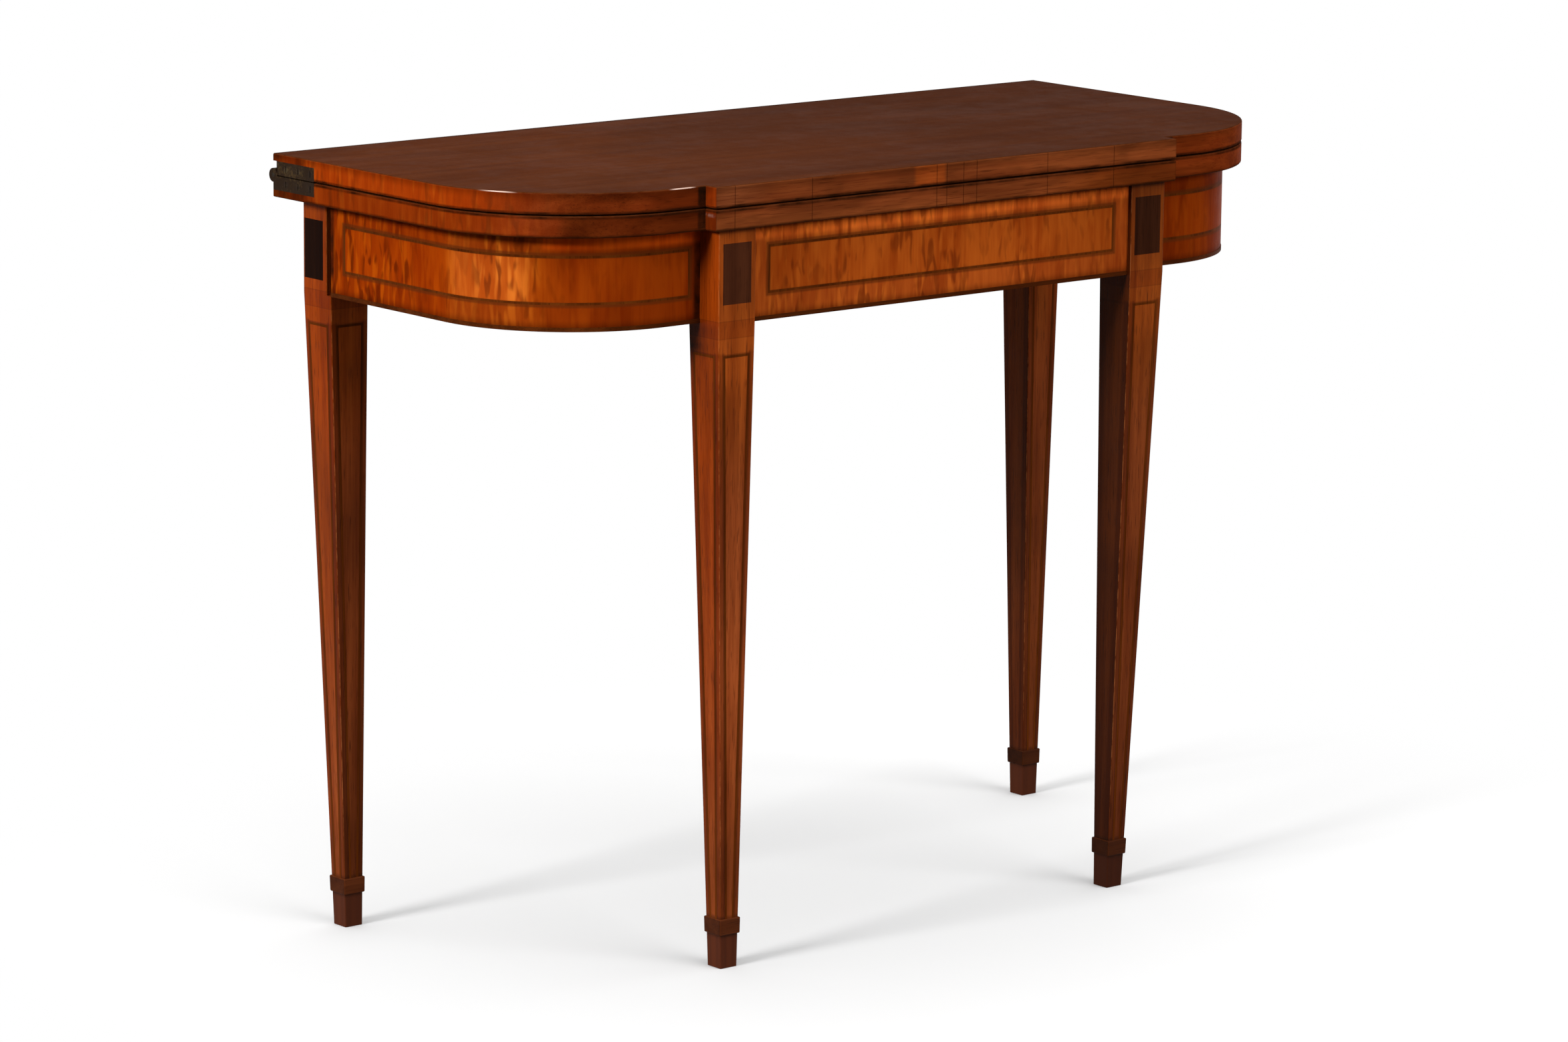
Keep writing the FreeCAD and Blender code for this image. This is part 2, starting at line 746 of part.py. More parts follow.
single = {
    "upper_leaf": [upper_leaf()],
    "lower_leaf": [lower_leaf()],
    "baize_upper": [baize(upper_face + baize_recess - baize_thickness)],
    "baize_lower": [baize(lower_face - baize_recess)],
    "hinge_screws_upper": hinge_screws(upper_screw_z),
    "hinge_screws_lower": hinge_screws(lower_screw_z),
    "front_rail": [front_rail()],
    "front_rail_stringing": [front_string()],
    "front_rail_banding": [front_banding(0.0)],
    "inner_back_rail": [inner_back_rail()],
    "knuckle_block": [knuckle_block()],
    "block_screws": block_screws(),
    "top_screws": top_screws(),
    "glue_blocks": glue_blocks(),
    "left_brace": [brace(brace_places[0])],
    "right_brace": [brace(brace_places[1])],
}
paired = {
    "hinge_lower_plate": [hinge_lower_plate()],
    "hinge_upper_plate": [hinge_upper_plate()],
    "hinge_pin": [hinge_pin()],
    "bow_rail": [bow_rail()],
    "bow_stringing": [bow_string(string_depth)],
    "bow_banding": [bow_banding()],
    "front_leg": [front_leg()],
    "front_leg_stringing": leg_strings(front_die, front_foot),
    "front_collar": [collar(front_die, front_foot)],
    "front_tablet": [front_tablet()],
    "rear_leg": [rear_leg()],
    "rear_leg_stringing": leg_strings(rear_die, rear_foot),
    "rear_collar": [collar(rear_die, rear_foot)],
    "rear_tablet": [rear_tablet()],
    "fly_rail": [fly_rail()],
    "knuckle_pin": [knuckle_pin()],
}
for node, shapes in single.items():
    save(node, shapes)
for node, shapes in paired.items():
    save("right_" + node, shapes)
    save("left_" + node, [mirrored(shape) for shape in shapes])
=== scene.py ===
import math

import bpy
import numpy as np
from mathutils import Matrix, Vector


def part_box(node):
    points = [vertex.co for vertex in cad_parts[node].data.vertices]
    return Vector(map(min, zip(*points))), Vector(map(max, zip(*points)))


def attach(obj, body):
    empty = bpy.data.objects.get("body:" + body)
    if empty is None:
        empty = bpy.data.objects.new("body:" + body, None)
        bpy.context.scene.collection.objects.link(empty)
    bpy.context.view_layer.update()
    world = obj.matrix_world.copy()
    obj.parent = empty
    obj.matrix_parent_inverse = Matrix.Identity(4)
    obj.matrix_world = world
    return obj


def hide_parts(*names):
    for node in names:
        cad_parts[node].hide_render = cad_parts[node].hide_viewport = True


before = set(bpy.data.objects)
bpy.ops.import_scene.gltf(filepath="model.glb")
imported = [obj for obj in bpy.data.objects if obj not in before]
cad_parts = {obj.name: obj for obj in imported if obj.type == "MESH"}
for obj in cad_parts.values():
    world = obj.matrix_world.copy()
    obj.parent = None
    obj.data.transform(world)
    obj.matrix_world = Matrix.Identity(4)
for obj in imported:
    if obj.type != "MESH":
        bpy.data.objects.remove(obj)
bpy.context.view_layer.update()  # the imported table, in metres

scene = bpy.context.scene
scene.view_settings.view_transform = "Standard"
print("table loaded:", len(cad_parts), "pieces")

cameraPlan = dict(
    place=(-3.72136, -4.42161, 1.51060),
    yaw=0.696457,  # radians, from +y towards +x
    pitch=0.195935,  # downwards
    roll=0.010464,
    focalPixels=9176.41,
    imageWidth=2359,
    sensorWidth=36.0,
)


def setCamera(plan):
    # forward comes from yaw and pitch, right stays level, and both turn about forward by the roll
    yaw, pitch, roll = plan["yaw"], plan["pitch"], plan["roll"]
    forward = np.array([math.sin(yaw) * math.cos(pitch), math.cos(yaw) * math.cos(pitch), -math.sin(pitch)])
    right = np.array([math.cos(yaw), -math.sin(yaw), 0.0])
    up = np.cross(right, forward)
    pose = np.eye(4)
    pose[:3, 0] = math.cos(roll) * right + math.sin(roll) * up
    pose[:3, 1] = math.cos(roll) * up - math.sin(roll) * right
    pose[:3, 2] = -forward
    pose[:3, 3] = plan["place"]
    lens = bpy.data.cameras.new("viewCamera")
    lens.sensor_fit = "HORIZONTAL"
    lens.sensor_width = plan["sensorWidth"]
    lens.lens = plan["focalPixels"] * plan["sensorWidth"] / plan["imageWidth"]
    camera = bpy.data.objects.new("viewCamera", lens)
    scene.collection.objects.link(camera)
    camera.matrix_world = Matrix(pose.tolist())
    scene.camera = camera


setCamera(cameraPlan)
print("camera set")


# short ways to build node trees

def emptyTree(owner):
    owner.use_nodes = True
    owner.node_tree.nodes.clear()
    return owner.node_tree


def feed(tree, socket, value):  # links another socket, or sets a plain number or colour
    if isinstance(value, bpy.types.NodeSocket):
        tree.links.new(value, socket)
    else:
        socket.default_value = value


def show(tree, kind, surface):
    tree.links.new(surface, tree.nodes.new(kind).inputs["Surface"])


def calc(tree, operation, a, b=0.0, clamp=False):
    node = tree.nodes.new("ShaderNodeMath")
    node.operation = operation
    node.use_clamp = clamp
    feed(tree, node.inputs[0], a)
    feed(tree, node.inputs[1], b)
    return node.outputs[0]


def size(tree, value):
    return calc(tree, "ABSOLUTE", value)


def remainder(tree, share):  # what a share leaves of 1
    return calc(tree, "SUBTRACT", 1.0, share)


def product(tree, first, *others):
    for other in others:
        first = calc(tree, "MULTIPLY", first, other)
    return first


def largest(tree, first, *others):
    for other in others:
        first = calc(tree, "MAXIMUM", first, other)
    return first


def weighted(tree, values, weights):  # sum of the values times their weights
    total = None
    for value, weight in zip(values, weights):
        part = product(tree, value, weight)
        total = part if total is None else calc(tree, "ADD", total, part)
    return total


def measure(tree, operation, vector, other):  # a number from two vectors
    node = tree.nodes.new("ShaderNodeVectorMath")
    node.operation = operation
    feed(tree, node.inputs[0], vector)
    node.inputs[1].default_value = other
    return node.outputs["Value"]


def mixColour(tree, share, a, b, how="MIX"):
    node = tree.nodes.new("ShaderNodeMix")
    node.data_type = "RGBA"
    node.blend_type = how
    feed(tree, node.inputs[0], share)
    feed(tree, node.inputs[6], a)
    feed(tree, node.inputs[7], b)
    return node.outputs[2]


def mixShader(tree, share, a, b):
    node = tree.nodes.new("ShaderNodeMixShader")
    for socket, value in zip(node.inputs, (share, a, b)):
        feed(tree, socket, value)
    return node.outputs[0]


def shaded(tree, colour, tone):  # a colour times a tone
    return mixColour(tree, 1.0, colour, tone, "MULTIPLY")


def tinted(tree, mask, colour, tint):  # a colour times a tint, where the mask is 1
    return mixColour(tree, mask, colour, shaded(tree, colour, tint))


def softStep(tree, value, low, high, start=0.0, end=1.0):  # start at low, end at high, smooth between
    node = tree.nodes.new("ShaderNodeMapRange")
    node.interpolation_type = "SMOOTHSTEP"
    amounts = {"Value": value, "From Min": low, "From Max": high, "To Min": start, "To Max": end}
    for label, amount in amounts.items():
        feed(tree, node.inputs[label], amount)
    return node.outputs["Result"]


def toned(tree, mask, tone):  # 1 where the mask is 0, the tone where it is 1
    return softStep(tree, mask, 0.0, 1.0, 1.0, tone)


def crossing(tree, value, edge, soft):  # 0 to 1 across an edge, or 1 to 0 where soft is negative
    return softStep(tree, value, edge - soft / 2, edge + soft / 2)


def band(tree, value, low, high, soft):  # 1 between low and high, with edges as wide as soft
    rising = crossing(tree, value, low, soft)
    falling = softStep(tree, value, high - soft / 2, high + soft / 2, 1.0, 0.0)
    return product(tree, rising, falling)


def line(tree, value, middle, width, soft):  # a narrow band
    return band(tree, value, middle - width / 2, middle + width / 2, soft)


def stretch(tree, vector, scale=(1.0, 1.0, 1.0), turn=(0.0, 0.0, 0.0), shift=(0.0, 0.0, 0.0)):
    node = tree.nodes.new("ShaderNodeMapping")
    feed(tree, node.inputs["Vector"], vector)
    node.inputs["Scale"].default_value = scale
    node.inputs["Rotation"].default_value = [math.radians(angle) for angle in turn]
    node.inputs["Location"].default_value = shift
    return node.outputs[0]


def noise(tree, vector, scale, detail=2.0, rough=0.5, warp=0.0):
    node = tree.nodes.new("ShaderNodeTexNoise")
    feed(tree, node.inputs["Vector"], stretch(tree, vector, scale))
    amounts = {"Scale": 1.0, "Detail": detail, "Roughness": rough, "Distortion": warp}
    for label, amount in amounts.items():
        node.inputs[label].default_value = amount
    return node.outputs[0]


def clouds(tree, vector, plan, key):  # one of the plan's noises, brought into its range
    return softStep(tree, noise(tree, vector, *plan[key]), *plan[key + "Range"])


def readers(tree, plan):  # softStep and band with numbers from the plan
    def step(value, key):
        return softStep(tree, value, *plan[key])

    def strip(value, key):
        return band(tree, value, *plan[key])
    return step, strip


socketKinds = {"vector": "NodeSocketVector", "colour": "NodeSocketColor", "value": "NodeSocketFloat"}


def startGroup(name, takes, gives):
    tree = bpy.data.node_groups.new(name, "ShaderNodeTree")
    for side, sockets in (("INPUT", takes), ("OUTPUT", gives)):
        for label, kind in sockets.items():
            tree.interface.new_socket(name=label, in_out=side, socket_type=socketKinds[kind])
    given = tree.nodes.new("NodeGroupInput").outputs
    result = tree.nodes.new("NodeGroupOutput").inputs
    return tree, given, result


def place(tree, group, **values):
    node = tree.nodes.new("ShaderNodeGroup")
    node.node_tree = group
    for label, value in values.items():
        feed(tree, node.inputs[label], value)
    return node.outputs


# in every plan a noise is its waves a metre along x, y and z, then detail, roughness and warp; a range or fade is
# low, high and, where they aren't 0 and 1, the values there; a band is low, high and softness; lengths are metres
grainPlan = dict(
    streak=((46.0, 46.0, 1.9), 4.0, 0.55, 0.5),
    ribbon=((130.0, 130.0, 3.5), 3.0, 0.5, 0.3),
    fibre=((520.0, 520.0, 9.0), 3.0, 0.6),
    shares=(0.5, 0.28, 0.22),  # of the three above
    contrast=(0.36, 0.64),
    pore=((1000.0, 1000.0, 42.0), 1.0),
    poreRange=(0.58, 0.72),
    relief=(0.5, -0.6),  # of fibres and pores
)


def makeLongGrain(plan):
    # grain along the vector's z: broad streaks, fine fibres and short pores, each a noise drawn out along z
    tree, given, result = startGroup(
        "longGrain", {"Vector": "vector", "Pale": "colour", "Deep": "colour", "Pore": "colour", "Pores": "value"},
        {"Color": "colour", "Height": "value"})
    vector = given["Vector"]
    streak, ribbon, fibre = [noise(tree, vector, *plan[name]) for name in ("streak", "ribbon", "fibre")]
    share = softStep(tree, weighted(tree, (streak, ribbon, fibre), plan["shares"]), *plan["contrast"])
    colour = mixColour(tree, share, given["Deep"], given["Pale"])
    pore = product(tree, clouds(tree, vector, plan, "pore"), given["Pores"])
    feed(tree, result["Color"], mixColour(tree, pore, colour, given["Pore"]))
    feed(tree, result["Height"], weighted(tree, (fibre, pore), plan["relief"]))
    return tree


veneerPlan = dict(
    mottle=((20.0, 20.0, 7.0), 3.0, 0.5, 0.8),
    curl=((95.0, 95.0, 14.0), 2.0, 0.5, 0.4),
    fibre=((480.0, 480.0, 16.0), 2.0, 0.6),
    shares=(0.46, 0.36, 0.18),  # of the three above
    contrast=(0.36, 0.64),
    dash=((135.0, 135.0, 38.0), 1.0, 0.5, 0.45),
    dashRange=(0.50, 0.68),
    flare=((150.0, 150.0, 28.0), 1.0, 0.5, 0.25),
    flareRange=(0.47, 0.70),
    flareShift=(3.1, 1.7, 0.4),  # makes the flares a pattern of their own
    patch=((19.0, 19.0, 9.0), 1.0),
    patchRange=(0.36, 0.60, 0.30, 1.0),
    relief=(0.35, 0.2, -0.3),  # of fibre, curl and dashes
)


def makeFleckedVeneer(plan):
    # figured veneer with its grain along z: mottle, curl and fine fibre, then dark and bright dashes in patches
    tree, given, result = startGroup(
        "fleckedVeneer", {"Vector": "vector", "Pale": "colour", "Deep": "colour", "Fleck": "colour",
                          "Flare": "colour", "Flecks": "value"}, {"Color": "colour", "Height": "value"})
    vector = given["Vector"]
    mottle, curl, fibre = [noise(tree, vector, *plan[name]) for name in ("mottle", "curl", "fibre")]
    share = softStep(tree, weighted(tree, (mottle, curl, fibre), plan["shares"]), *plan["contrast"])
    colour = mixColour(tree, share, given["Deep"], given["Pale"])
    strength = product(tree, clouds(tree, vector, plan, "patch"), given["Flecks"])
    shifted = stretch(tree, vector, shift=plan["flareShift"])
    bright = product(tree, clouds(tree, shifted, plan, "flare"), strength)
    mark = product(tree, clouds(tree, vector, plan, "dash"), strength)
    colour = mixColour(tree, bright, colour, given["Flare"])
    feed(tree, result["Color"], mixColour(tree, mark, colour, given["Fleck"]))
    feed(tree, result["Height"], weighted(tree, (fibre, curl, mark), plan["relief"]))
    return tree


polishPlan = dict(
    smear=((8.0, 8.0, 8.0), 3.0, 0.55, 0.4),
    rub=((55.0, 55.0, 55.0), 3.0, 0.6),
    shares=(0.6, 0.4),  # of the two above
    contrast=(0.35, 0.65),
    scratch=((900.0, 14.0, 900.0), 1.0),
    scratchTurn=(20.0, 10.0, 35.0),  # degrees
    scratchRange=(0.66, 0.76),
    scratchRough=0.08,
    relief=(0.35, -0.15),  # of rubs and scratches
)


def makeOldPolish(plan):
    # worn polish: roughness wanders between two limits with hand-sized smears, finger-sized rubs and fine scratches
    tree, given, result = startGroup("oldPolish", {"Vector": "vector", "Smooth": "value", "Dull": "value"},
                                     {"Roughness": "value", "Height": "value"})
    vector = given["Vector"]
    smear, rub = [noise(tree, vector, *plan[name]) for name in ("smear", "rub")]
    turned = stretch(tree, vector, turn=plan["scratchTurn"])
    scratch = clouds(tree, turned, plan, "scratch")
    share = softStep(tree, weighted(tree, (smear, rub), plan["shares"]), *plan["contrast"])
    rough = weighted(tree, (given["Smooth"], given["Dull"], scratch),
                     (remainder(tree, share), share, plan["scratchRough"]))
    feed(tree, result["Roughness"], rough)
    feed(tree, result["Height"], weighted(tree, (rub, scratch), plan["relief"]))
    return tree


wearPlan = dict(gaps=((95.0, 95.0, 95.0), 3.0, 0.6), gapsRange=(0.36, 0.62))


def makeRubbedEdge(plan):
    # an edge mask broken up by noise, where the colour has worn towards a paler one
    tree, given, result = startGroup(
        "rubbedEdge", {"Vector": "vector", "Color": "colour", "Worn": "colour", "Mask": "value"},
        {"Color": "colour", "Mask": "value"})
    mask = product(tree, clouds(tree, given["Vector"], plan, "gaps"), given["Mask"])
    feed(tree, result["Color"], mixColour(tree, mask, given["Color"], given["Worn"]))
    feed(tree, result["Mask"], mask)
    return tree


dirtAndShadePlan = dict(
    cloud=((36.0, 36.0, 36.0), 4.0, 0.6),
    cloudRange=(0.25, 0.75, 0.35, 1.0),
    # the near-black brown of painted shade and of grime
    colour=(0.010, 0.004, 0.0015, 1.0),
)


def makeDirtAndShade(plan):
    # painted shade in corners, and old grime and wax: the mask is made uneven and the colour goes towards a
    # near-black brown
    tree, given, result = startGroup("dirtAndShade", {"Vector": "vector", "Color": "colour", "Mask": "value"},
                                     {"Color": "colour", "Mask": "value"})
    mask = product(tree, clouds(tree, given["Vector"], plan, "cloud"), given["Mask"])
    feed(tree, result["Color"], mixColour(tree, mask, given["Color"], plan["colour"]))
    feed(tree, result["Mask"], mask)
    return tree


longGrain = makeLongGrain(grainPlan)
fleckedVeneer = makeFleckedVeneer(veneerPlan)
oldPolish = makeOldPolish(polishPlan)
rubbedEdge = makeRubbedEdge(wearPlan)
dirtAndShade = makeDirtAndShade(dirtAndShadePlan)
print("shared node groups built")


def newFinish(name, specular):
    finish = bpy.data.materials.new(name)
    tree = emptyTree(finish)
    shader = tree.nodes.new("ShaderNodeBsdfPrincipled")
    shader.inputs["Specular IOR Level"].default_value = specular
    show(tree, "ShaderNodeOutputMaterial", shader.outputs[0])
    spot = tree.nodes.new("ShaderNodeTexCoord")
    parts = []
    for label in ("Object", "Normal"):
        split = tree.nodes.new("ShaderNodeSeparateXYZ")
        tree.links.new(spot.outputs[label], split.inputs[0])
        parts.append(split.outputs)
    return finish, tree, shader, spot.outputs["Object"], parts[0], parts[1]


def polished(tree, spot, plan):
    return place(tree, oldPolish, Vector=spot, Smooth=plan["smooth"], Dull=plan["dull"])


def setBump(tree, shader, bump, heights, weights):
    node = tree.nodes.new("ShaderNodeBump")
    node.inputs["Strength"].default_value, node.inputs["Distance"].default_value = bump
    feed(tree, node.inputs["Height"], weighted(tree, heights, weights))
    feed(tree, shader.inputs["Normal"], node.outputs[0])


topPlan = dict(
    facePale=(0.060, 0.0142, 0.0030, 1.0),
    faceDeep=(0.046, 0.0100, 0.0020, 1.0),
    bandPale=(0.38, 0.046, 0.0024, 1.0),
    bandDeep=(0.285, 0.029, 0.0013, 1.0),
    bandFlare=(0.55, 0.100, 0.0055, 1.0),
    frontPale=(0.245, 0.058, 0.014, 1.0),
    frontDeep=(0.155, 0.031, 0.0075, 1.0),
    pore=(0.022, 0.005, 0.0012, 1.0),
    worn=(0.40, 0.16, 0.07, 1.0),
    glint=(0.62, 0.44, 0.36, 1.0),
    underside=(0.15, 0.060, 0.022, 1.0),
    grainTurn=(0.0, 90.0, 0.0),  # degrees, brings the grain from z to x
    facePores=0.3, frontPores=0.4, endFlecks=0.35,
    faceFrom=(0.35, 0.80),  # how far a normal points up or down on the flat faces
    endFrom=(0.55, 1.0),  # and sideways on the ends
    faceCloud=((3.0, 5.0, 3.0), 4.0, 0.55, 0.6),
    faceCloudRange=(0.30, 0.70, 0.86, 1.14),
    faceFade=(-0.45, 0.30, 1.18, 0.80),
    stain=((26.0, 40.0, 20.0), 2.0, 0.4, 0.6),
    stainRange=(0.72, 0.80, 0.0, 0.6),
    backShade=(0.196, 0.203, 0.0, 0.7),
    frontCloud=((13.0, 13.0, 60.0), 3.0, 0.5, 0.5),
    frontCloudRange=(0.32, 0.68, 0.78, 1.24),
    frontFade=(-0.30, 0.25, 0.98, 1.06),
    frontFrom=(-0.209, -0.205, 1.0, 0.0),
    lowerFrom=(0.717, 0.716),  # heights of the lower and the upper leaf
    upperFrom=(0.718, 0.720),
    leftFrom=(0.1, -0.1),  # along x
    breakAt=0.284,  # where the middle of the top steps forward
    breakSoft=0.01,
    bowFrom=(0.05, 0.0),  # along y
    bowTint=(0.88, 0.62, 0.40, 1.0),
    lowerTint=(0.70, 0.75, 0.95, 1.0),  # the lower leaf's ends
    lowerBow=0.55,  # tone of the lower leaf's edge on the left bow
    bowEnds=(0.2, 0.0),  # keeps that tone off the ends
    turnBand=(0.30, 0.90, 0.20),
    turnTone=0.76,  # of the upper leaf's edge where the left bow turns
    rimFade=(0.7275, 0.7365, 1.0, 0.62),  # the upper leaf's edge, darker towards its rim
    patches=((-0.047, -0.010, 0.006, (1.70, 1.45, 0.95, 1.0)),  # paler stretches of the upper front edge
             (-0.290, -0.243, 0.060, (1.70, 2.00, 2.50, 1.0))),
    rightFrom=(0.08, 0.20),
    rightTint=(0.76, 0.66, 0.45, 1.0),  # the right end of the lower leaf's front edge
    joints=(-0.262, -0.171, -0.0202, -0.0079, 0.0127, 0.0292, 0.118, 0.203),  # in the front edge
    jointWidth=0.0008, jointSoft=0.0006, jointDark=0.7,
    undersideFrom=(-0.95, -0.8, 1.0, 0.0),
    undersideHeight=(0.6965, 0.6985, 1.0, 0.0),
    arrisBand=(0.30, 0.90, 0.16),
    arrisWear=0.05,
    rimGlints=(((-0.462, -0.450, 0.008), (-0.085, -0.095)),  # painted highlights on the rim, along x and y
          ((-0.322, -0.299, 0.010), (-0.185, -0.190))),
    glintHeight=(0.732, 0.735),
    returnGlintBand=(0.7095, 0.7115, 0.003),  # painted highlight at the left corner of the lower leaf's middle
    returnGlintFrom=(-0.190, -0.196),
    returnGlintSide=(-0.7, -0.95, 0.0, 0.30),
    returnGlint=((150.0, 150.0, 90.0), 3.0, 0.6),
    returnGlintRange=(0.40, 0.62),
    seamShadeBand=(0.7130, 0.7196, 0.002),  # painted shade between the leaves
    seamShadeDepth=0.95,
    cornerShadeWidth=0.009,  # painted shade in the corner of the step
    cornerShadeSoft=0.003,
    cornerShadeFrom=(-0.185, -0.190),
    lowShade=(0.6995, 0.6970, 0.0, 0.85),
    hingeShade=(0.149, 0.159, 0.0, 0.85),
    darkenedRough=0.2, polishRelief=0.6,
    bump=(0.25, 0.0006),
    specular=0.0015, smooth=0.38, dull=0.50,
)


def polishedTop(plan):
    finish, tree, shader, spot, (atX, atY, atZ), facing = newFinish("polishedTop", plan["specular"])
    step, strip = readers(tree, plan)
    level = step(size(tree, facing["Z"]), "faceFrom")
    upright = remainder(tree, level)
    along = stretch(tree, spot, turn=plan["grainTurn"])
    board = place(tree, longGrain, Vector=along, Pale=plan["facePale"], Deep=plan["faceDeep"], Pore=plan["pore"],
                  Pores=plan["facePores"])
    cloud = clouds(tree, spot, plan, "faceCloud")
    face = shaded(tree, board["Color"], product(tree, cloud, step(atX, "faceFade")))
    for dark in (clouds(tree, spot, plan, "stain"), step(atY, "backShade")):
        face = mixColour(tree, dark, face, plan["pore"])

    # the edge: flecked veneer on the ends, long grain along the front, and a tone for each stretch
    turn = size(tree, facing["X"])
    ends = step(turn, "endFrom")
    edge = place(tree, fleckedVeneer, Vector=spot, Pale=plan["bandPale"], Deep=plan["bandDeep"],
                 Fleck=plan["faceDeep"], Flare=plan["bandFlare"], Flecks=plan["endFlecks"])
    frontEdge = place(tree, longGrain, Vector=along, Pale=plan["frontPale"], Deep=plan["frontDeep"],
                      Pore=plan["pore"], Pores=plan["frontPores"])
    across = product(tree, clouds(tree, spot, plan, "frontCloud"), step(atX, "frontFade"))
    edgeColour = mixColour(tree, ends, shaded(tree, frontEdge["Color"], across), edge["Color"])
    x, breakAt = size(tree, atX), plan["breakAt"]
    inLower = step(atZ, "lowerFrom")
    left = step(atX, "leftFrom")
    bow = product(tree, softStep(tree, x, breakAt, breakAt + plan["breakSoft"]), step(atY, "bowFrom"),
                  remainder(tree, ends))
    edgeColour = tinted(tree, bow, edgeColour, plan["bowTint"])
    edgeColour = tinted(tree, product(tree, inLower, ends), edgeColour, plan["lowerTint"])
    lowerBow = product(tree, inLower, left, bow, step(ends, "bowEnds"))
    turning = product(tree, strip(turn, "turnBand"), left, remainder(tree, inLower))
    tone = product(tree, step(atZ, "rimFade"), toned(tree, lowerBow, plan["lowerBow"]),
                   toned(tree, turning, plan["turnTone"]))
    edgeColour = shaded(tree, edgeColour, tone)
    front = step(atY, "frontFrom")
    upperFront = product(tree, step(atZ, "upperFrom"), front)
    for start, end, soft, tint in plan["patches"]:
        patch = product(tree, band(tree, atX, start, end, soft), upperFront)
        edgeColour = tinted(tree, patch, edgeColour, tint)
    right = product(tree, inLower, front, step(atX, "rightFrom"))
    edgeColour = tinted(tree, right, edgeColour, plan["rightTint"])
    for middle in plan["joints"]:
        joint = line(tree, atX, middle, plan["jointWidth"], plan["jointSoft"])
        edgeColour = mixColour(tree, product(tree, joint, front, plan["jointDark"]), edgeColour, plan["pore"])
    colour = mixColour(tree, level, edgeColour, face)

    # underside, wear, painted highlights and painted shade
    below = product(tree, step(facing["Z"], "undersideFrom"), step(atZ, "undersideHeight"))
    colour = mixColour(tree, below, colour, plan["underside"])
    arris = strip(size(tree, facing["Z"]), "arrisBand")
    worn = place(tree, rubbedEdge, Vector=spot, Color=colour, Worn=plan["worn"],
                 Mask=product(tree, arris, plan["arrisWear"]))
    # painted highlights: glints on the rim and on the return of the lower leaf's step
    rimGlints = [product(tree, band(tree, atX, *part), softStep(tree, atY, *fade)) for part, fade in plan["rimGlints"]]
    glinted = product(tree, largest(tree, *rimGlints), arris, step(atZ, "glintHeight"))
    returnGlint = product(tree, strip(atZ, "returnGlintBand"), step(atY, "returnGlintFrom"), step(facing["X"], "returnGlintSide"),
                   clouds(tree, spot, plan, "returnGlint"))
    colour = mixColour(tree, largest(tree, glinted, returnGlint), worn["Color"], plan["glint"])
    seamShade = product(tree, strip(atZ, "seamShadeBand"), plan["seamShadeDepth"])
    low = step(atZ, "lowShade")
    shadedCorner = product(tree, band(tree, x, breakAt, breakAt + plan["cornerShadeWidth"], plan["cornerShadeSoft"]),
                     step(atY, "cornerShadeFrom"))
    byHinge = product(tree, step(atY, "hingeShade"), ends)
    # painted shade in the seam, under the lower leaf, in the step's corner and by the hinges
    darkened = place(tree, dirtAndShade, Vector=spot, Color=colour,
                  Mask=product(tree, largest(tree, seamShade, low, shadedCorner, byHinge), upright))
    feed(tree, shader.inputs["Base Color"], darkened["Color"])
    polish = polished(tree, spot, plan)
    feed(tree, shader.inputs["Roughness"],
         calc(tree, "ADD", polish["Roughness"], product(tree, darkened["Mask"], plan["darkenedRough"])))
    setBump(tree, shader, plan["bump"], (board["Height"], edge["Height"], polish["Height"]),
            (level, upright, plan["polishRelief"]))
    return finish


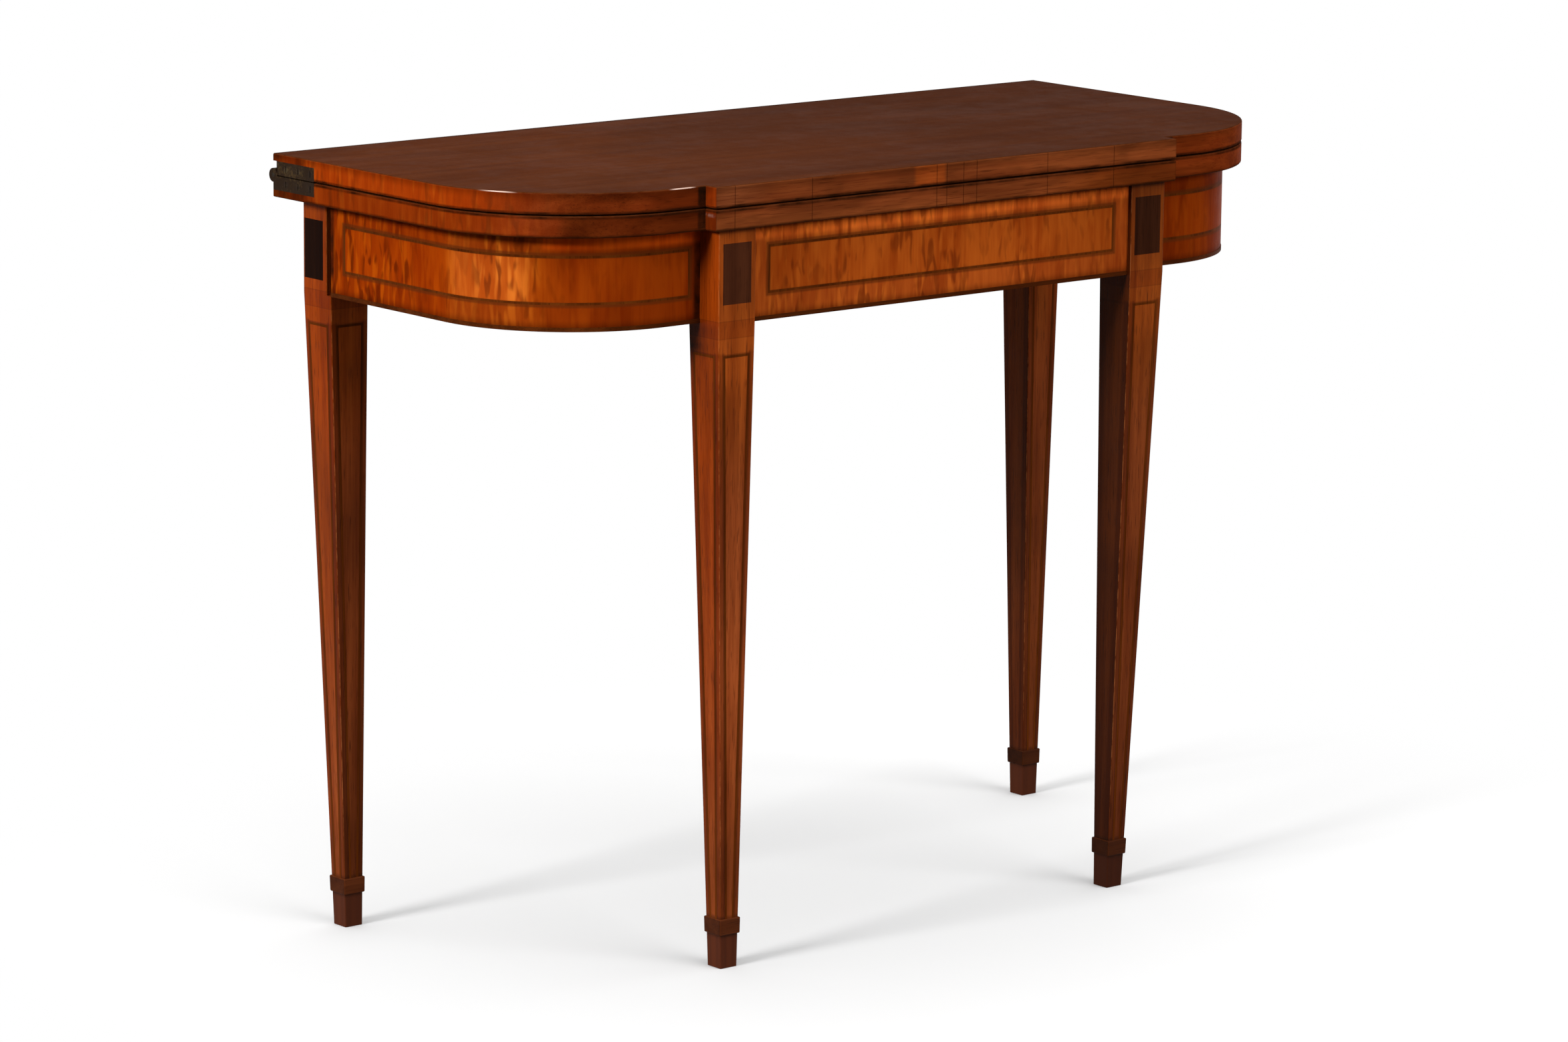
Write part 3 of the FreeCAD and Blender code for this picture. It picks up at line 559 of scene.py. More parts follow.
friezePlan = dict(
    panelPale=(0.44, 0.076, 0.0035, 1.0),
    panelDeep=(0.30, 0.040, 0.0016, 1.0),
    borderPale=(0.36, 0.058, 0.0032, 1.0),
    borderDeep=(0.24, 0.031, 0.0016, 1.0),
    flare=(0.52, 0.112, 0.006, 1.0),
    frontFlare=(0.46, 0.084, 0.004, 1.0),
    bowTint=(0.67, 0.53, 0.42, 1.0),
    frontTint=(1.14, 1.28, 2.60, 1.0),
    # painted sheen, a paler gold
    goldSheenTint=(1.50, 1.75, 3.40, 1.0),
    edgeTint=(1.20, 1.25, 1.35, 1.0),
    # painted light: the bows' rear ends warmer and deeper, as the light falls there
    endLightTint=(0.91, 0.67, 0.25, 1.0),
    line=(0.10, 0.022, 0.004, 1.0),
    fleck=(0.135, 0.017, 0.0010, 1.0),
    inside=(0.20, 0.095, 0.040, 1.0),
    insideDeep=(0.10, 0.042, 0.017, 1.0),
    insideTurn=(0.0, 90.0, 0.0),  # degrees, brings the grain from z to x
    insidePores=0.3,
    insideRough=(0.0, 1.0, 0.3, 0.0),
    panelBottom=0.63275,
    panelTop=0.67775,
    panelHalf=0.214,  # of the front panel's width
    panelSoft=0.0006,
    bowFront=0.287,  # where the bowed panels start
    bowRear=0.11835,  # and end
    bowCentre=(0.3185, -0.03865),
    outerFrom=(0.02, 0.05),  # how far a face looks away from the bow's centre
    quietBand=(0.262, 0.425, 0.03),  # the bows' front, along x and y, with few flecks
    quietFrom=(-0.09, -0.14),
    frontFrom=(0.27, 0.26),
    frontQuiet=0.30,
    fleckRange=(0.0, 1.0, 0.85, 0.22),
    goldSheenTurn=(0.74, 0.86),  # painted sheen on the turn of the bows
    goldSheenFrom=(-0.035, -0.060),
    goldSheenPanel=(0.0, 1.0, 0.15, 1.0),
    endFrom=(-0.055, -0.030),
    aboveFrom=(0.67875, 0.68875),  # the border over the strings, where light is painted against the leaf's shadow
    litFade=(-0.1, 0.1, 1.0, 0.35),
    bowBorderLight=3.4,  # painted light on that border, on the bows and on the front
    frontBorderLight=1.9,
    lowFade=(0.620, 0.610, 1.0, 0.48),
    sideFade=(0.10, 0.20, 1.0, 0.84),
    lineSoft=0.0024,  # how far the colour goes dark beside the strings
    lineDark=0.7,
    topShade=(0.692, 0.695, 0.0, 0.7),
    bottomShade=(0.612, 0.609, 0.0, 0.4),
    cornerShadeBand=(0.270, 0.283, 0.006),  # painted shade by the front legs
    cornerShadeFrom=(-0.165, -0.172),
    rearShade=(0.1310, 0.1360, 0.0, 0.95),
    relief=(0.8, 0.6),  # of veneer and polish
    bump=(0.22, 0.0005),
    specular=0.004, smooth=0.24, dull=0.42,
)


def friezeVeneer(plan):
    finish, tree, shader, spot, (atX, atY, atZ), facing = newFinish("friezeVeneer", plan["specular"])
    step, strip = readers(tree, plan)
    x = size(tree, atX)
    centreX, centreY = plan["bowCentre"]
    outX = product(tree, facing["X"], calc(tree, "SIGN", atX), calc(tree, "SUBTRACT", x, centreX))
    outY = product(tree, facing["Y"], calc(tree, "SUBTRACT", atY, centreY))
    outer = step(calc(tree, "ADD", outX, outY), "outerFrom")

    def panelMask(grow, soft):  # 1 inside the strings' rectangles, made larger by grow
        inFront = crossing(tree, x, plan["panelHalf"] + grow, -soft)
        inBow = product(tree, crossing(tree, x, plan["bowFront"] - grow, soft),
                        crossing(tree, atY, plan["bowRear"] + grow, -soft))
        return product(tree, band(tree, atZ, plan["panelBottom"] - grow, plan["panelTop"] + grow, soft),
                       largest(tree, inFront, inBow))

    panel = panelMask(0.0, plan["panelSoft"])
    quiet = product(tree, strip(x, "quietBand"), step(atY, "quietFrom"))
    front = step(x, "frontFrom")
    calm = largest(tree, quiet, product(tree, front, plan["frontQuiet"]))
    veneer = place(tree, fleckedVeneer, Vector=spot, Fleck=plan["fleck"],
                   Pale=mixColour(tree, panel, plan["borderPale"], plan["panelPale"]),
                   Deep=mixColour(tree, panel, plan["borderDeep"], plan["panelDeep"]),
                   Flare=mixColour(tree, front, plan["flare"], plan["frontFlare"]), Flecks=step(calm, "fleckRange"))
    colour = veneer["Color"]
    # painted sheen where the bows turn
    goldSheen = product(tree, step(size(tree, facing["X"]), "goldSheenTurn"), step(atY, "goldSheenFrom"), step(panel, "goldSheenPanel"))
    border = product(tree, front, remainder(tree, panel))
    end = step(atY, "endFrom")
    # tints: the bows' front, the front panel, painted sheen, the front border and painted light on the rear ends
    for mask, tint in ((quiet, "bowTint"), (front, "frontTint"), (goldSheen, "goldSheenTint"), (border, "edgeTint"),
                       (end, "endLightTint")):
        colour = tinted(tree, mask, colour, plan[tint])
    # painted light on the border over the strings, against the shadow of the leaf above
    above = step(atZ, "aboveFrom")
    lit = product(tree, quiet, step(atX, "litFade"))
    tone = product(tree, toned(tree, product(tree, above, lit), plan["bowBorderLight"]),
                   toned(tree, product(tree, above, front), plan["frontBorderLight"]), step(atZ, "lowFade"),
                   step(product(tree, x, front), "sideFade"))
    colour = shaded(tree, colour, tone)
    soft = plan["lineSoft"]
    beside = calc(tree, "SUBTRACT", panelMask(soft, soft), panelMask(-soft, soft))
    colour = mixColour(tree, product(tree, beside, plan["lineDark"]), colour, plan["line"])
    inside = place(tree, longGrain, Vector=stretch(tree, spot, turn=plan["insideTurn"]), Pale=plan["inside"],
                   Deep=plan["insideDeep"], Pore=plan["fleck"], Pores=plan["insidePores"])
    colour = mixColour(tree, outer, inside["Color"], colour)
    # painted shade under the leaf, along the bottom edge, by the front legs and at the bows' rear ends
    shadedCorner = product(tree, strip(x, "cornerShadeBand"), step(atY, "cornerShadeFrom"))
    darkening = largest(tree, step(atZ, "topShade"), step(atZ, "bottomShade"), shadedCorner, step(atY, "rearShade"))
    darkened = place(tree, dirtAndShade, Vector=spot, Color=colour, Mask=darkening)
    feed(tree, shader.inputs["Base Color"], darkened["Color"])
    polish = polished(tree, spot, plan)
    rough = calc(tree, "ADD", polish["Roughness"], step(outer, "insideRough"), True)
    feed(tree, shader.inputs["Roughness"], rough)
    setBump(tree, shader, plan["bump"], (veneer["Height"], polish["Height"]), plan["relief"])
    return finish


legPlan = dict(
    pale=(0.40, 0.088, 0.020, 1.0),
    deep=(0.225, 0.040, 0.0075, 1.0),
    pore=(0.05, 0.010, 0.002, 1.0),
    pores=0.55,
    foot=(0.070, 0.018, 0.008, 1.0),
    worn=(0.50, 0.16, 0.05, 1.0),
    borderTint=(0.70, 0.64, 0.60, 1.0),
    upperTint=(1.0, 0.93, 0.48, 1.0),
    # painted light: the outer faces warmer and deeper, as the light falls there
    endLightTint=(0.84, 0.62, 0.28, 1.0),
    bandTint=(0.84, 0.76, 0.70, 1.0),
    cloud=((14.0, 14.0, 5.0), 3.0, 0.55, 0.6),
    cloudRange=(0.30, 0.70, 0.80, 1.20),
    rearFrom=(-0.02, 0.02),
    rightFrom=(0.0, 0.1),
    awayFrom=(-0.5, -0.9),  # normals that point inward or forward
    outsideFrom=(0.5, 0.9),  # and outward
    sidewaysFrom=(0.6, 0.8),
    inner=0.38,  # painted shade on the inner faces
    rear=0.55,  # painted shade on the rear legs' front faces
    right=0.56,  # the right front leg
    footRight=0.62,  # and its foot
    friezeBottom=0.6085,
    footHalf=0.00975,  # half a leg's side at the floor, and what it gains up to the frieze
    footGain=0.01175,
    frontFoot=(0.2437, -0.17985),
    frontLean=(0.0103, -0.0045),
    rearFoot=(0.4318, 0.15255),
    rearLean=(0.0050, 0.0088),
    stringInset=0.0054,
    stringTop=0.5805,
    stringSoft=0.0012,  # how far the strings' darkness runs into the wood beside them
    stringDark=0.5,
    borderSoft=0.004,
    upperFrom=(0.42, 0.56),
    tabletShade=(0.1806, 0.1816, 0.0, 0.85),  # behind the rear tablets
    tabletSide=(0.3, 0.6),
    tabletBand=(0.6218, 0.6779, 0.002),
    outsideFade=(0.10, 0.45, 0.25, 1.0),
    upperLightBand=(0.55, 0.612, 0.04),
    upperLight=1.28,  # painted light on the front faces by the frieze, against the shadow of the top
    lowFade=(0.05, 0.30, 0.70, 1.0),
    rearTopFrom=(0.32, 0.55),
    rearTop=1.6,  # the rear legs' front faces, how much paler near the frieze
    rearSideBand=(0.16, 0.46, 0.14),
    rearSide=0.74,  # the rear legs' outer faces, halfway down
    bandBottom=0.596,
    bandTop=0.612,
    bandSoft=0.0012,
    lineWidth=0.0008,  # lines above and below the band
    lineSoft=0.0006, lineDark=0.3,
    footFade=(0.030, 0.050, 0.9, 0.0),
    arrisFrom=(0.90, 0.985, 1.0, 0.0),
    arrisLevel=(0.3, 0.5, 1.0, 0.0),
    wearFade=(0.05, 0.15, 0.0, 0.4),
    # painted shade at the legs' tops under the leaf, and in a band by the collars
    topShade=(0.691, 0.695, 0.0, 0.9),
    collarBand=(0.030, 0.050, 0.004),
    cornerShadeDepth=0.7,
    bowShadowBand=(0.580, 0.6085, 0.012),  # painted shadow on the outer faces of the front legs, under the bows
    bowShadowSide=(0.6, 0.9),
    bowShadowFade=(-0.194, -0.176, 0.25, 1.0),
    relief=(0.9, 0.6),  # of wood and polish
    bump=(0.25, 0.0005),
    specular=0.03, smooth=0.28, dull=0.46,
)


def legWood(plan):
    finish, tree, shader, spot, (atX, atY, atZ), facing = newFinish("legWood", plan["specular"])
    step, strip = readers(tree, plan)
    wood = place(tree, longGrain, Vector=spot, Pale=plan["pale"], Deep=plan["deep"], Pore=plan["pore"],
                 Pores=plan["pores"])
    x, turn = size(tree, atX), size(tree, facing["X"])
    outward = product(tree, facing["X"], calc(tree, "SIGN", atX))
    rear = step(atY, "rearFrom")
    inFront = remainder(tree, rear)
    right = product(tree, step(atX, "rightFrom"), inFront)
    forward = step(facing["Y"], "awayFrom")
    # painted shade on the inner faces and the rear legs' front faces; the right front leg is a darker wood
    tone = product(tree, clouds(tree, spot, plan, "cloud"),
                   softStep(tree, outward, *plan["awayFrom"], 1.0, plan["inner"]),
                   softStep(tree, product(tree, facing["Y"], rear), *plan["awayFrom"], 1.0, plan["rear"]),
                   toned(tree, right, plan["right"]))
    colour = shaded(tree, wood["Color"], tone)

    # the strings' lines follow each leg's taper and lean
    share = calc(tree, "DIVIDE", atZ, plan["friezeBottom"])
    half = calc(tree, "ADD", product(tree, share, plan["footGain"]), plan["footHalf"])
    sideways = step(turn, "sidewaysFrom")

    def fromMiddle(foot, lean):  # distance across a face from its middle line
        offsets = []
        for value, start, slope in zip((x, atY), foot, lean):
            middle = calc(tree, "ADD", product(tree, share, slope), start)
            offsets.append(size(tree, calc(tree, "SUBTRACT", value, middle)))
        return weighted(tree, offsets, (remainder(tree, sideways), sideways))

    fromMiddles = (fromMiddle(plan["frontFoot"], plan["frontLean"]), fromMiddle(plan["rearFoot"], plan["rearLean"]))
    across = weighted(tree, fromMiddles, (inFront, rear))
    fromEdge = calc(tree, "SUBTRACT", half, across)
    inset, soft, top = plan["stringInset"], plan["stringSoft"], plan["stringTop"]
    belowTop = softStep(tree, atZ, top + plan["borderSoft"], top)
    border = product(tree, softStep(tree, fromEdge, inset + plan["borderSoft"], inset), belowTop)
    colour = tinted(tree, border, colour, plan["borderTint"])
    beside = largest(tree, product(tree, line(tree, fromEdge, inset, 2 * soft, soft), belowTop),
                     product(tree, softStep(tree, fromEdge, inset - soft, inset),
                             line(tree, atZ, top, 2 * soft, soft)))
    colour = mixColour(tree, product(tree, beside, plan["stringDark"]), colour, plan["pore"])

    # tones of the faces, some of them painted light, then the band, the feet, wear and painted shade
    colour = tinted(tree, step(atZ, "upperFrom"), colour, plan["upperTint"])
    behind = product(tree, step(atY, "tabletShade"), step(outward, "tabletSide"), strip(atZ, "tabletBand"))
    colour = mixColour(tree, behind, colour, plan["pore"])
    outside = step(outward, "outsideFrom")
    # painted light on the outer faces, weaker towards the floor
    colour = tinted(tree, product(tree, outside, step(atZ, "outsideFade")), colour, plan["endLightTint"])
    # painted light on the front faces by the frieze
    upper = product(tree, strip(atZ, "upperLightBand"), forward)
    rearFront = product(tree, rear, forward, step(atZ, "rearTopFrom"))
    rearOuter = product(tree, rear, outside, strip(atZ, "rearSideBand"))
    tone = product(tree, toned(tree, upper, plan["upperLight"]), step(atZ, "lowFade"),
                   toned(tree, rearFront, plan["rearTop"]), toned(tree, rearOuter, plan["rearSide"]))
    colour = shaded(tree, colour, tone)
    crossBand = band(tree, atZ, plan["bandBottom"], plan["bandTop"], plan["bandSoft"])
    colour = tinted(tree, crossBand, colour, plan["bandTint"])
    for height in (plan["bandBottom"], plan["bandTop"]):
        dark = product(tree, line(tree, atZ, height, plan["lineWidth"], plan["lineSoft"]), plan["lineDark"])
        colour = mixColour(tree, dark, colour, plan["pore"])
    foot = shaded(tree, plan["foot"], toned(tree, right, plan["footRight"]))
    colour = mixColour(tree, step(atZ, "footFade"), colour, foot)
    straight = largest(tree, turn, size(tree, facing["Y"]))
    arris = product(tree, step(straight, "arrisFrom"), step(size(tree, facing["Z"]), "arrisLevel"))
    worn = place(tree, rubbedEdge, Vector=spot, Color=colour, Worn=plan["worn"],
                 Mask=product(tree, arris, step(atZ, "wearFade")))
    # painted shade at the legs' tops and by the collars
    shadedCorner = largest(tree, step(atZ, "topShade"), strip(atZ, "collarBand"))
    # painted shadow of the bows on the front legs' outer faces
    bowShadowed = product(tree, strip(atZ, "bowShadowBand"), step(outward, "bowShadowSide"), inFront,
                        step(atY, "bowShadowFade"))
    darkened = place(tree, dirtAndShade, Vector=spot, Color=worn["Color"],
                  Mask=largest(tree, product(tree, shadedCorner, plan["cornerShadeDepth"]), bowShadowed))
    feed(tree, shader.inputs["Base Color"], darkened["Color"])
    polish = polished(tree, spot, plan)
    feed(tree, shader.inputs["Roughness"], polish["Roughness"])
    setBump(tree, shader, plan["bump"], (wood["Height"], polish["Height"]), plan["relief"])
    return finish


# the small dark trims and the hidden framing: one long-grained wood each
trimPlans = {
    "darkString": dict(
        pale=(0.135, 0.030, 0.0035, 1.0), deep=(0.075, 0.0145, 0.0016, 1.0), pore=(0.020, 0.004, 0.0008, 1.0),
        pores=0.4, turn=(0.0, 0.0, 0.0), specular=0.008, smooth=0.34, dull=0.52, darkening=0.15),
    "edgeBanding": dict(
        pale=(0.105, 0.023, 0.0035, 1.0), deep=(0.050, 0.010, 0.0016, 1.0), pore=(0.014, 0.003, 0.0006, 1.0),
        pores=0.4, turn=(0.0, 90.0, 0.0), specular=0.010, smooth=0.36, dull=0.55, darkening=0.35),
    "collarWood": dict(
        pale=(0.128, 0.031, 0.0085, 1.0), deep=(0.069, 0.0155, 0.0042, 1.0), pore=(0.020, 0.006, 0.002, 1.0),
        pores=0.4, turn=(0.0, 90.0, 0.0), specular=0.03, smooth=0.32, dull=0.52, darkening=0.3, right=0.5, ends=0.55),
    "tabletVeneer": dict(
        pale=(0.088, 0.0250, 0.0095, 1.0), deep=(0.044, 0.0115, 0.0048, 1.0), pore=(0.010, 0.003, 0.0015, 1.0),
        pores=0.5, turn=(0.0, 0.0, 0.0), specular=0.01, smooth=0.28, dull=0.46, darkening=0.2, rear=0.17, right=0.5),
    "carcassWood": dict(
        pale=(0.50, 0.228, 0.080, 1.0), deep=(0.31, 0.126, 0.040, 1.0), pore=(0.10, 0.040, 0.014, 1.0), pores=0.6,
        turn=(0.0, 90.0, 0.0), specular=0.05, smooth=0.62, dull=0.82, darkening=0.45),
}
trimShared = dict(
    rear=(0.05, 0.10),  # where the tones of those names set in
    right=(0.10, 0.20),
    ends=(0.6, 0.9),
    grime=((17.0, 17.0, 17.0), 4.0, 0.6),
    grimeFrom=(0.45, 0.75),
    darkenedRough=0.25,
    relief=(0.9, 0.5),  # of wood and polish
    bump=(0.25, 0.0005),
)


def trimWood(name, plan, shared):
    finish, tree, shader, spot, at, facing = newFinish(name, plan["specular"])
    along = stretch(tree, spot, turn=plan["turn"])
    wood = place(tree, longGrain, Vector=along, Pale=plan["pale"], Deep=plan["deep"], Pore=plan["pore"],
                 Pores=plan["pores"])
    colour = wood["Color"]
    places = {"rear": at["Y"], "right": at["X"], "ends": size(tree, facing["X"])}
    for key, value in places.items():
        if key in plan:
            colour = shaded(tree, colour, softStep(tree, value, *shared[key], 1.0, plan[key]))
    grime = softStep(tree, noise(tree, spot, *shared["grime"]), *shared["grimeFrom"], 0.0, plan["darkening"])
    darkened = place(tree, dirtAndShade, Vector=spot, Color=colour, Mask=grime)
    feed(tree, shader.inputs["Base Color"], darkened["Color"])
    polish = polished(tree, spot, plan)
    feed(tree, shader.inputs["Roughness"],
         calc(tree, "ADD", polish["Roughness"], product(tree, darkened["Mask"], shared["darkenedRough"])))
    setBump(tree, shader, shared["bump"], (wood["Height"], polish["Height"]), shared["relief"])
    return finish


metalPlans = {
    "hingeMetal": dict(
        bright=(0.060, 0.032, 0.008, 1.0), dark=(0.020, 0.009, 0.003, 1.0), shine=0.5, smooth=0.40, dull=0.62,
        bare=0.50),
    "pinMetal": dict(
        bright=(0.075, 0.062, 0.042, 1.0), dark=(0.020, 0.014, 0.009, 1.0), shine=0.8, smooth=0.28, dull=0.52,
        bare=0.50),
    "screwMetal": dict(
        bright=(0.070, 0.044, 0.016, 1.0), dark=(0.020, 0.010, 0.005, 1.0), shine=0.7, smooth=0.36, dull=0.58,
        bare=0.48),
}
metalShared = dict(
    specular=0.04,
    cloud=((60.0, 60.0, 60.0), 4.0, 0.6, 0.5),
    grit=((420.0, 420.0, 420.0), 3.0, 0.6),
    shares=(0.6, 0.4),  # of the two above
    bareSoft=0.16,
    darkShine=0.35,
    bareSmooth=0.08,
    relief=(0.6, 0.5),  # of tarnish and polish
    bump=(0.3, 0.0004),
)


def oldMetal(name, plan, shared):
    # tarnish over worn metal: a cloudy mask chooses between them, and metal shows where it is rubbed bare
    finish, tree, shader, spot = newFinish(name, shared["specular"])[:4]
    cloud = weighted(tree, [noise(tree, spot, *shared[part]) for part in ("cloud", "grit")], shared["shares"])
    bare = softStep(tree, cloud, plan["bare"], plan["bare"] + shared["bareSoft"])
    feed(tree, shader.inputs["Base Color"], mixColour(tree, bare, plan["dark"], plan["bright"]))
    feed(tree, shader.inputs["Metallic"], softStep(tree, bare, 0.0, 1.0, shared["darkShine"], plan["shine"]))
    polish = polished(tree, spot, plan)
    feed(tree, shader.inputs["Roughness"],
         calc(tree, "SUBTRACT", polish["Roughness"], product(tree, bare, shared["bareSmooth"])))
    setBump(tree, shader, shared["bump"], (cloud, polish["Height"]), shared["relief"])
    return finish


feltPlan = dict(
    pale=(0.030, 0.085, 0.030, 1.0),
    deep=(0.017, 0.052, 0.019, 1.0),
    faded=(0.060, 0.100, 0.038, 1.0),
    fibre=((1500.0, 260.0, 900.0), 3.0, 0.6, 1.0),
    crossFibre=((260.0, 1500.0, 900.0), 3.0, 0.6, 1.0),
    crossTurn=(0.0, 0.0, 50.0),  # degrees
    fibreShares=(0.5, 0.5),
    nap=((34.0, 26.0, 30.0), 4.0, 0.6, 0.3),
    shares=(0.75, 0.25),  # of fibres and nap
    contrast=(0.36, 0.64),
    fading=((4.0, 5.0, 4.0), 3.0, 0.55, 0.6),
    fadingRange=(0.48, 0.72, 0.0, 0.45),
    rough=(0.0, 1.0, 0.95, 0.82),
    sheen=(0.42, 0.72, 0.36, 1.0),
    sheenWeight=0.20,
    sheenRough=0.5,
    relief=(0.8, 0.3),  # of fibres and nap
    bump=(0.5, 0.0005),
    specular=0.04,
)


def greenFelt(plan):
    # matted wool: fine crossing fibres, a cloudy nap, and patches faded by light and play
    finish, tree, shader, spot = newFinish("greenFelt", plan["specular"])[:4]
    turned = stretch(tree, spot, turn=plan["crossTurn"])
    fibre = weighted(tree, (noise(tree, spot, *plan["fibre"]), noise(tree, turned, *plan["crossFibre"])),
                     plan["fibreShares"])
    nap = noise(tree, spot, *plan["nap"])
    share = softStep(tree, weighted(tree, (fibre, nap), plan["shares"]), *plan["contrast"])
    colour = mixColour(tree, share, plan["deep"], plan["pale"])
    faded = clouds(tree, spot, plan, "fading")
    feed(tree, shader.inputs["Base Color"], mixColour(tree, faded, colour, plan["faded"]))
    feed(tree, shader.inputs["Roughness"], softStep(tree, share, *plan["rough"]))
    shader.inputs["Sheen Weight"].default_value = plan["sheenWeight"]
    shader.inputs["Sheen Tint"].default_value = plan["sheen"]
    shader.inputs["Sheen Roughness"].default_value = plan["sheenRough"]
    setBump(tree, shader, plan["bump"], (fibre, nap), plan["relief"])
    return finish


trimSlots = {"stringing": "darkString", "edge_banding": "edgeBanding", "collar_wood": "collarWood",
             "tablet_veneer": "tabletVeneer", "carcass_wood": "carcassWood"}
metalSlots = {"hinge_metal": "hingeMetal", "pin_metal": "pinMetal", "screw_metal": "screwMetal"}
finishes = {
    "top_mahogany": polishedTop(topPlan),
    "frieze_veneer": friezeVeneer(friezePlan),
    "leg_mahogany": legWood(legPlan),
    **{slotName: trimWood(name, trimPlans[name], trimShared) for slotName, name in trimSlots.items()},
    **{slotName: oldMetal(name, metalPlans[name], metalShared) for slotName, name in metalSlots.items()},
    "baize": greenFelt(feltPlan),
}
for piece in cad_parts.values():
    for slot in piece.material_slots:
        slot.material = finishes[slot.material.name.split(".")[0]]
print("finishes on:", len(finishes))


def gridFaces(rows, columns, start=0, turned=False):  # quads of a grid of points stored row by row
    i, j = np.meshgrid(np.arange(rows - 1), np.arange(columns - 1), indexing="ij")
    first = (start + i * columns + j).ravel()
    quads = np.stack([first, first + 1, first + columns + 1, first + columns], axis=1)
    return quads[:, ::-1] if turned else quads


def newPiece(name, points, faces, finish):
    mesh = bpy.data.meshes.new(name)
    mesh.from_pydata(points.tolist(), [], faces.tolist())
    mesh.update()
    mesh.materials.append(finish)
    piece = bpy.data.objects.new(name, mesh)
    scene.collection.objects.link(piece)
    return piece


clothPlan = dict(
    halfWidth=0.4342,  # to the cloth's straight ends
    radius=0.1157,  # of its bows
    bowCentre=(0.3185, -0.03865),
    middleHalf=0.2417,  # half of the part that stands forward
    stepWidth=0.0002,
    front=-0.16935,
    back=0.20435,
    thickness=0.001,
    nap=0.00012,  # unevenness of the cloth's face, in two crossing waves
    waveX=61.0,  # radians a metre
    waveY=53.0,
    startY=1.3,
    bend=2.0,  # how far the first wave's lines bend, and how often
    bendY=17.0,
    edgeSoft=0.0016,  # how wide the rounding of the rim is
    edgeDrop=0.35,  # and how deep, as a share of the thickness
    bowSteps=28,
    flatSteps=10,
    middleSteps=64,
    rows=60,
)


def clothSheet(name, plan, bedHeight, side):
    # columns run across the table, each from the front edge's y(x) straight to the back edge; y(x) is a quarter
    # circle at each end, a short flat, a small step and a straight middle; the face wanders by two sine waves
    centreX, centreY = plan["bowCentre"]
    angle = np.linspace(0.0, math.pi / 2, plan["bowSteps"])
    bowX = centreX + plan["radius"] * np.cos(angle)
    bowY = centreY - plan["radius"] * np.sin(angle)
    flatX = np.linspace(centreX, plan["middleHalf"] + plan["stepWidth"], plan["flatSteps"])[1:]
    flatY = np.full_like(flatX, centreY - plan["radius"])
    halfX = np.concatenate([bowX, flatX])
    halfY = np.concatenate([bowY, flatY])
    middleX = np.linspace(-plan["middleHalf"], plan["middleHalf"], plan["middleSteps"])
    x = np.concatenate([-halfX, middleX, halfX[::-1]])
    frontY = np.concatenate([halfY, np.full_like(middleX, plan["front"]), halfY[::-1]])
    share = np.linspace(0.0, 1.0, plan["rows"])[:, None]
    gridX = np.broadcast_to(x, (plan["rows"], len(x)))
    gridY = frontY + share * (plan["back"] - frontY)
    bent = gridX * plan["waveX"] + plan["bend"] * np.sin(gridY * plan["bendY"])
    wander = np.sin(bent) * np.sin(gridY * plan["waveY"] + plan["startY"])
    inside = np.minimum(np.minimum(gridY - frontY, plan["back"] - gridY), plan["halfWidth"] - np.abs(gridX))
    rounded = 1.0 - np.clip(inside / plan["edgeSoft"], 0.0, 1.0)
    depth = plan["thickness"] * (1.0 - plan["edgeDrop"] * rounded ** 2) - plan["nap"] * (1.0 - wander) / 2
    upper = np.stack([gridX, gridY, bedHeight + side * depth], axis=2).reshape(-1, 3)
    lower = np.stack([gridX, gridY, np.full_like(gridX, bedHeight)], axis=2).reshape(-1, 3)
    rows, columns = gridX.shape
    order = np.arange(rows * columns).reshape(rows, columns)
    rim = np.concatenate([order[0], order[1:, -1], order[-1, -2::-1], order[-2:0:-1, 0]])
    nextRim = np.roll(rim, -1)
    wall = np.stack([rim, rim + rows * columns, nextRim + rows * columns, nextRim], axis=1)
    up = side > 0
    faces = np.concatenate([gridFaces(rows, columns, 0, not up), gridFaces(rows, columns, rows * columns, up),
                            wall if up else wall[:, ::-1]])
    return newPiece(name, np.concatenate([upper, lower]), faces, finishes["baize"])


for name, node, body, leaf, side in (("lowerCloth", "baize_lower", "carcass", "lower_leaf", 1.0),
                                     ("upperCloth", "baize_upper", "leaf", "upper_leaf", -1.0)):
    low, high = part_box(node)
    cloth = clothSheet(name, clothPlan, low.z if side > 0 else high.z, side)
    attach(cloth, body)
    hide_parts(node)
print("cloths laid")


studioPlan = dict(
    lamps={  # strength in watts a square metre, spread and angles in degrees
        "endLamp": {"azimuth": 183.0, "elevation": 25.0, "strength": 2.8, "spread": 16.0},
        "frontLamp": {"azimuth": -76.0, "elevation": 32.0, "strength": 1.6, "spread": 40.0},
    },
    white=(1.0, 1.0, 1.0, 1.0),
    back=(0.63, 0.78, 0.0),  # the direction from the camera past the table
    fillFrom=(-0.2, 0.9),
    fillFront=0.05,  # world light from behind the camera
    fillBack=0.50,  # and from behind the table
    overhead=1.9,  # world light from straight above
    overheadFrom=(0.55, 0.90),  # heights, as sines, where it starts and is full
    whiteFade=(0.09, 0.16, 1.0, 0.0),  # and where the white background fades into the room
    floorHalf=30.0,
    floorSteps=13,
    floorDrop=0.0002,
    floorSeen=0.668,  # how pale the floor is to the camera
    floorBounce=0.10,  # and to the light that it throws back at the table
    shadowMiddle=(0.08, -0.03, 0.0),
    shadowFrom=(0.45, 0.92),  # distances from there where the shadows start to fade and are gone
)


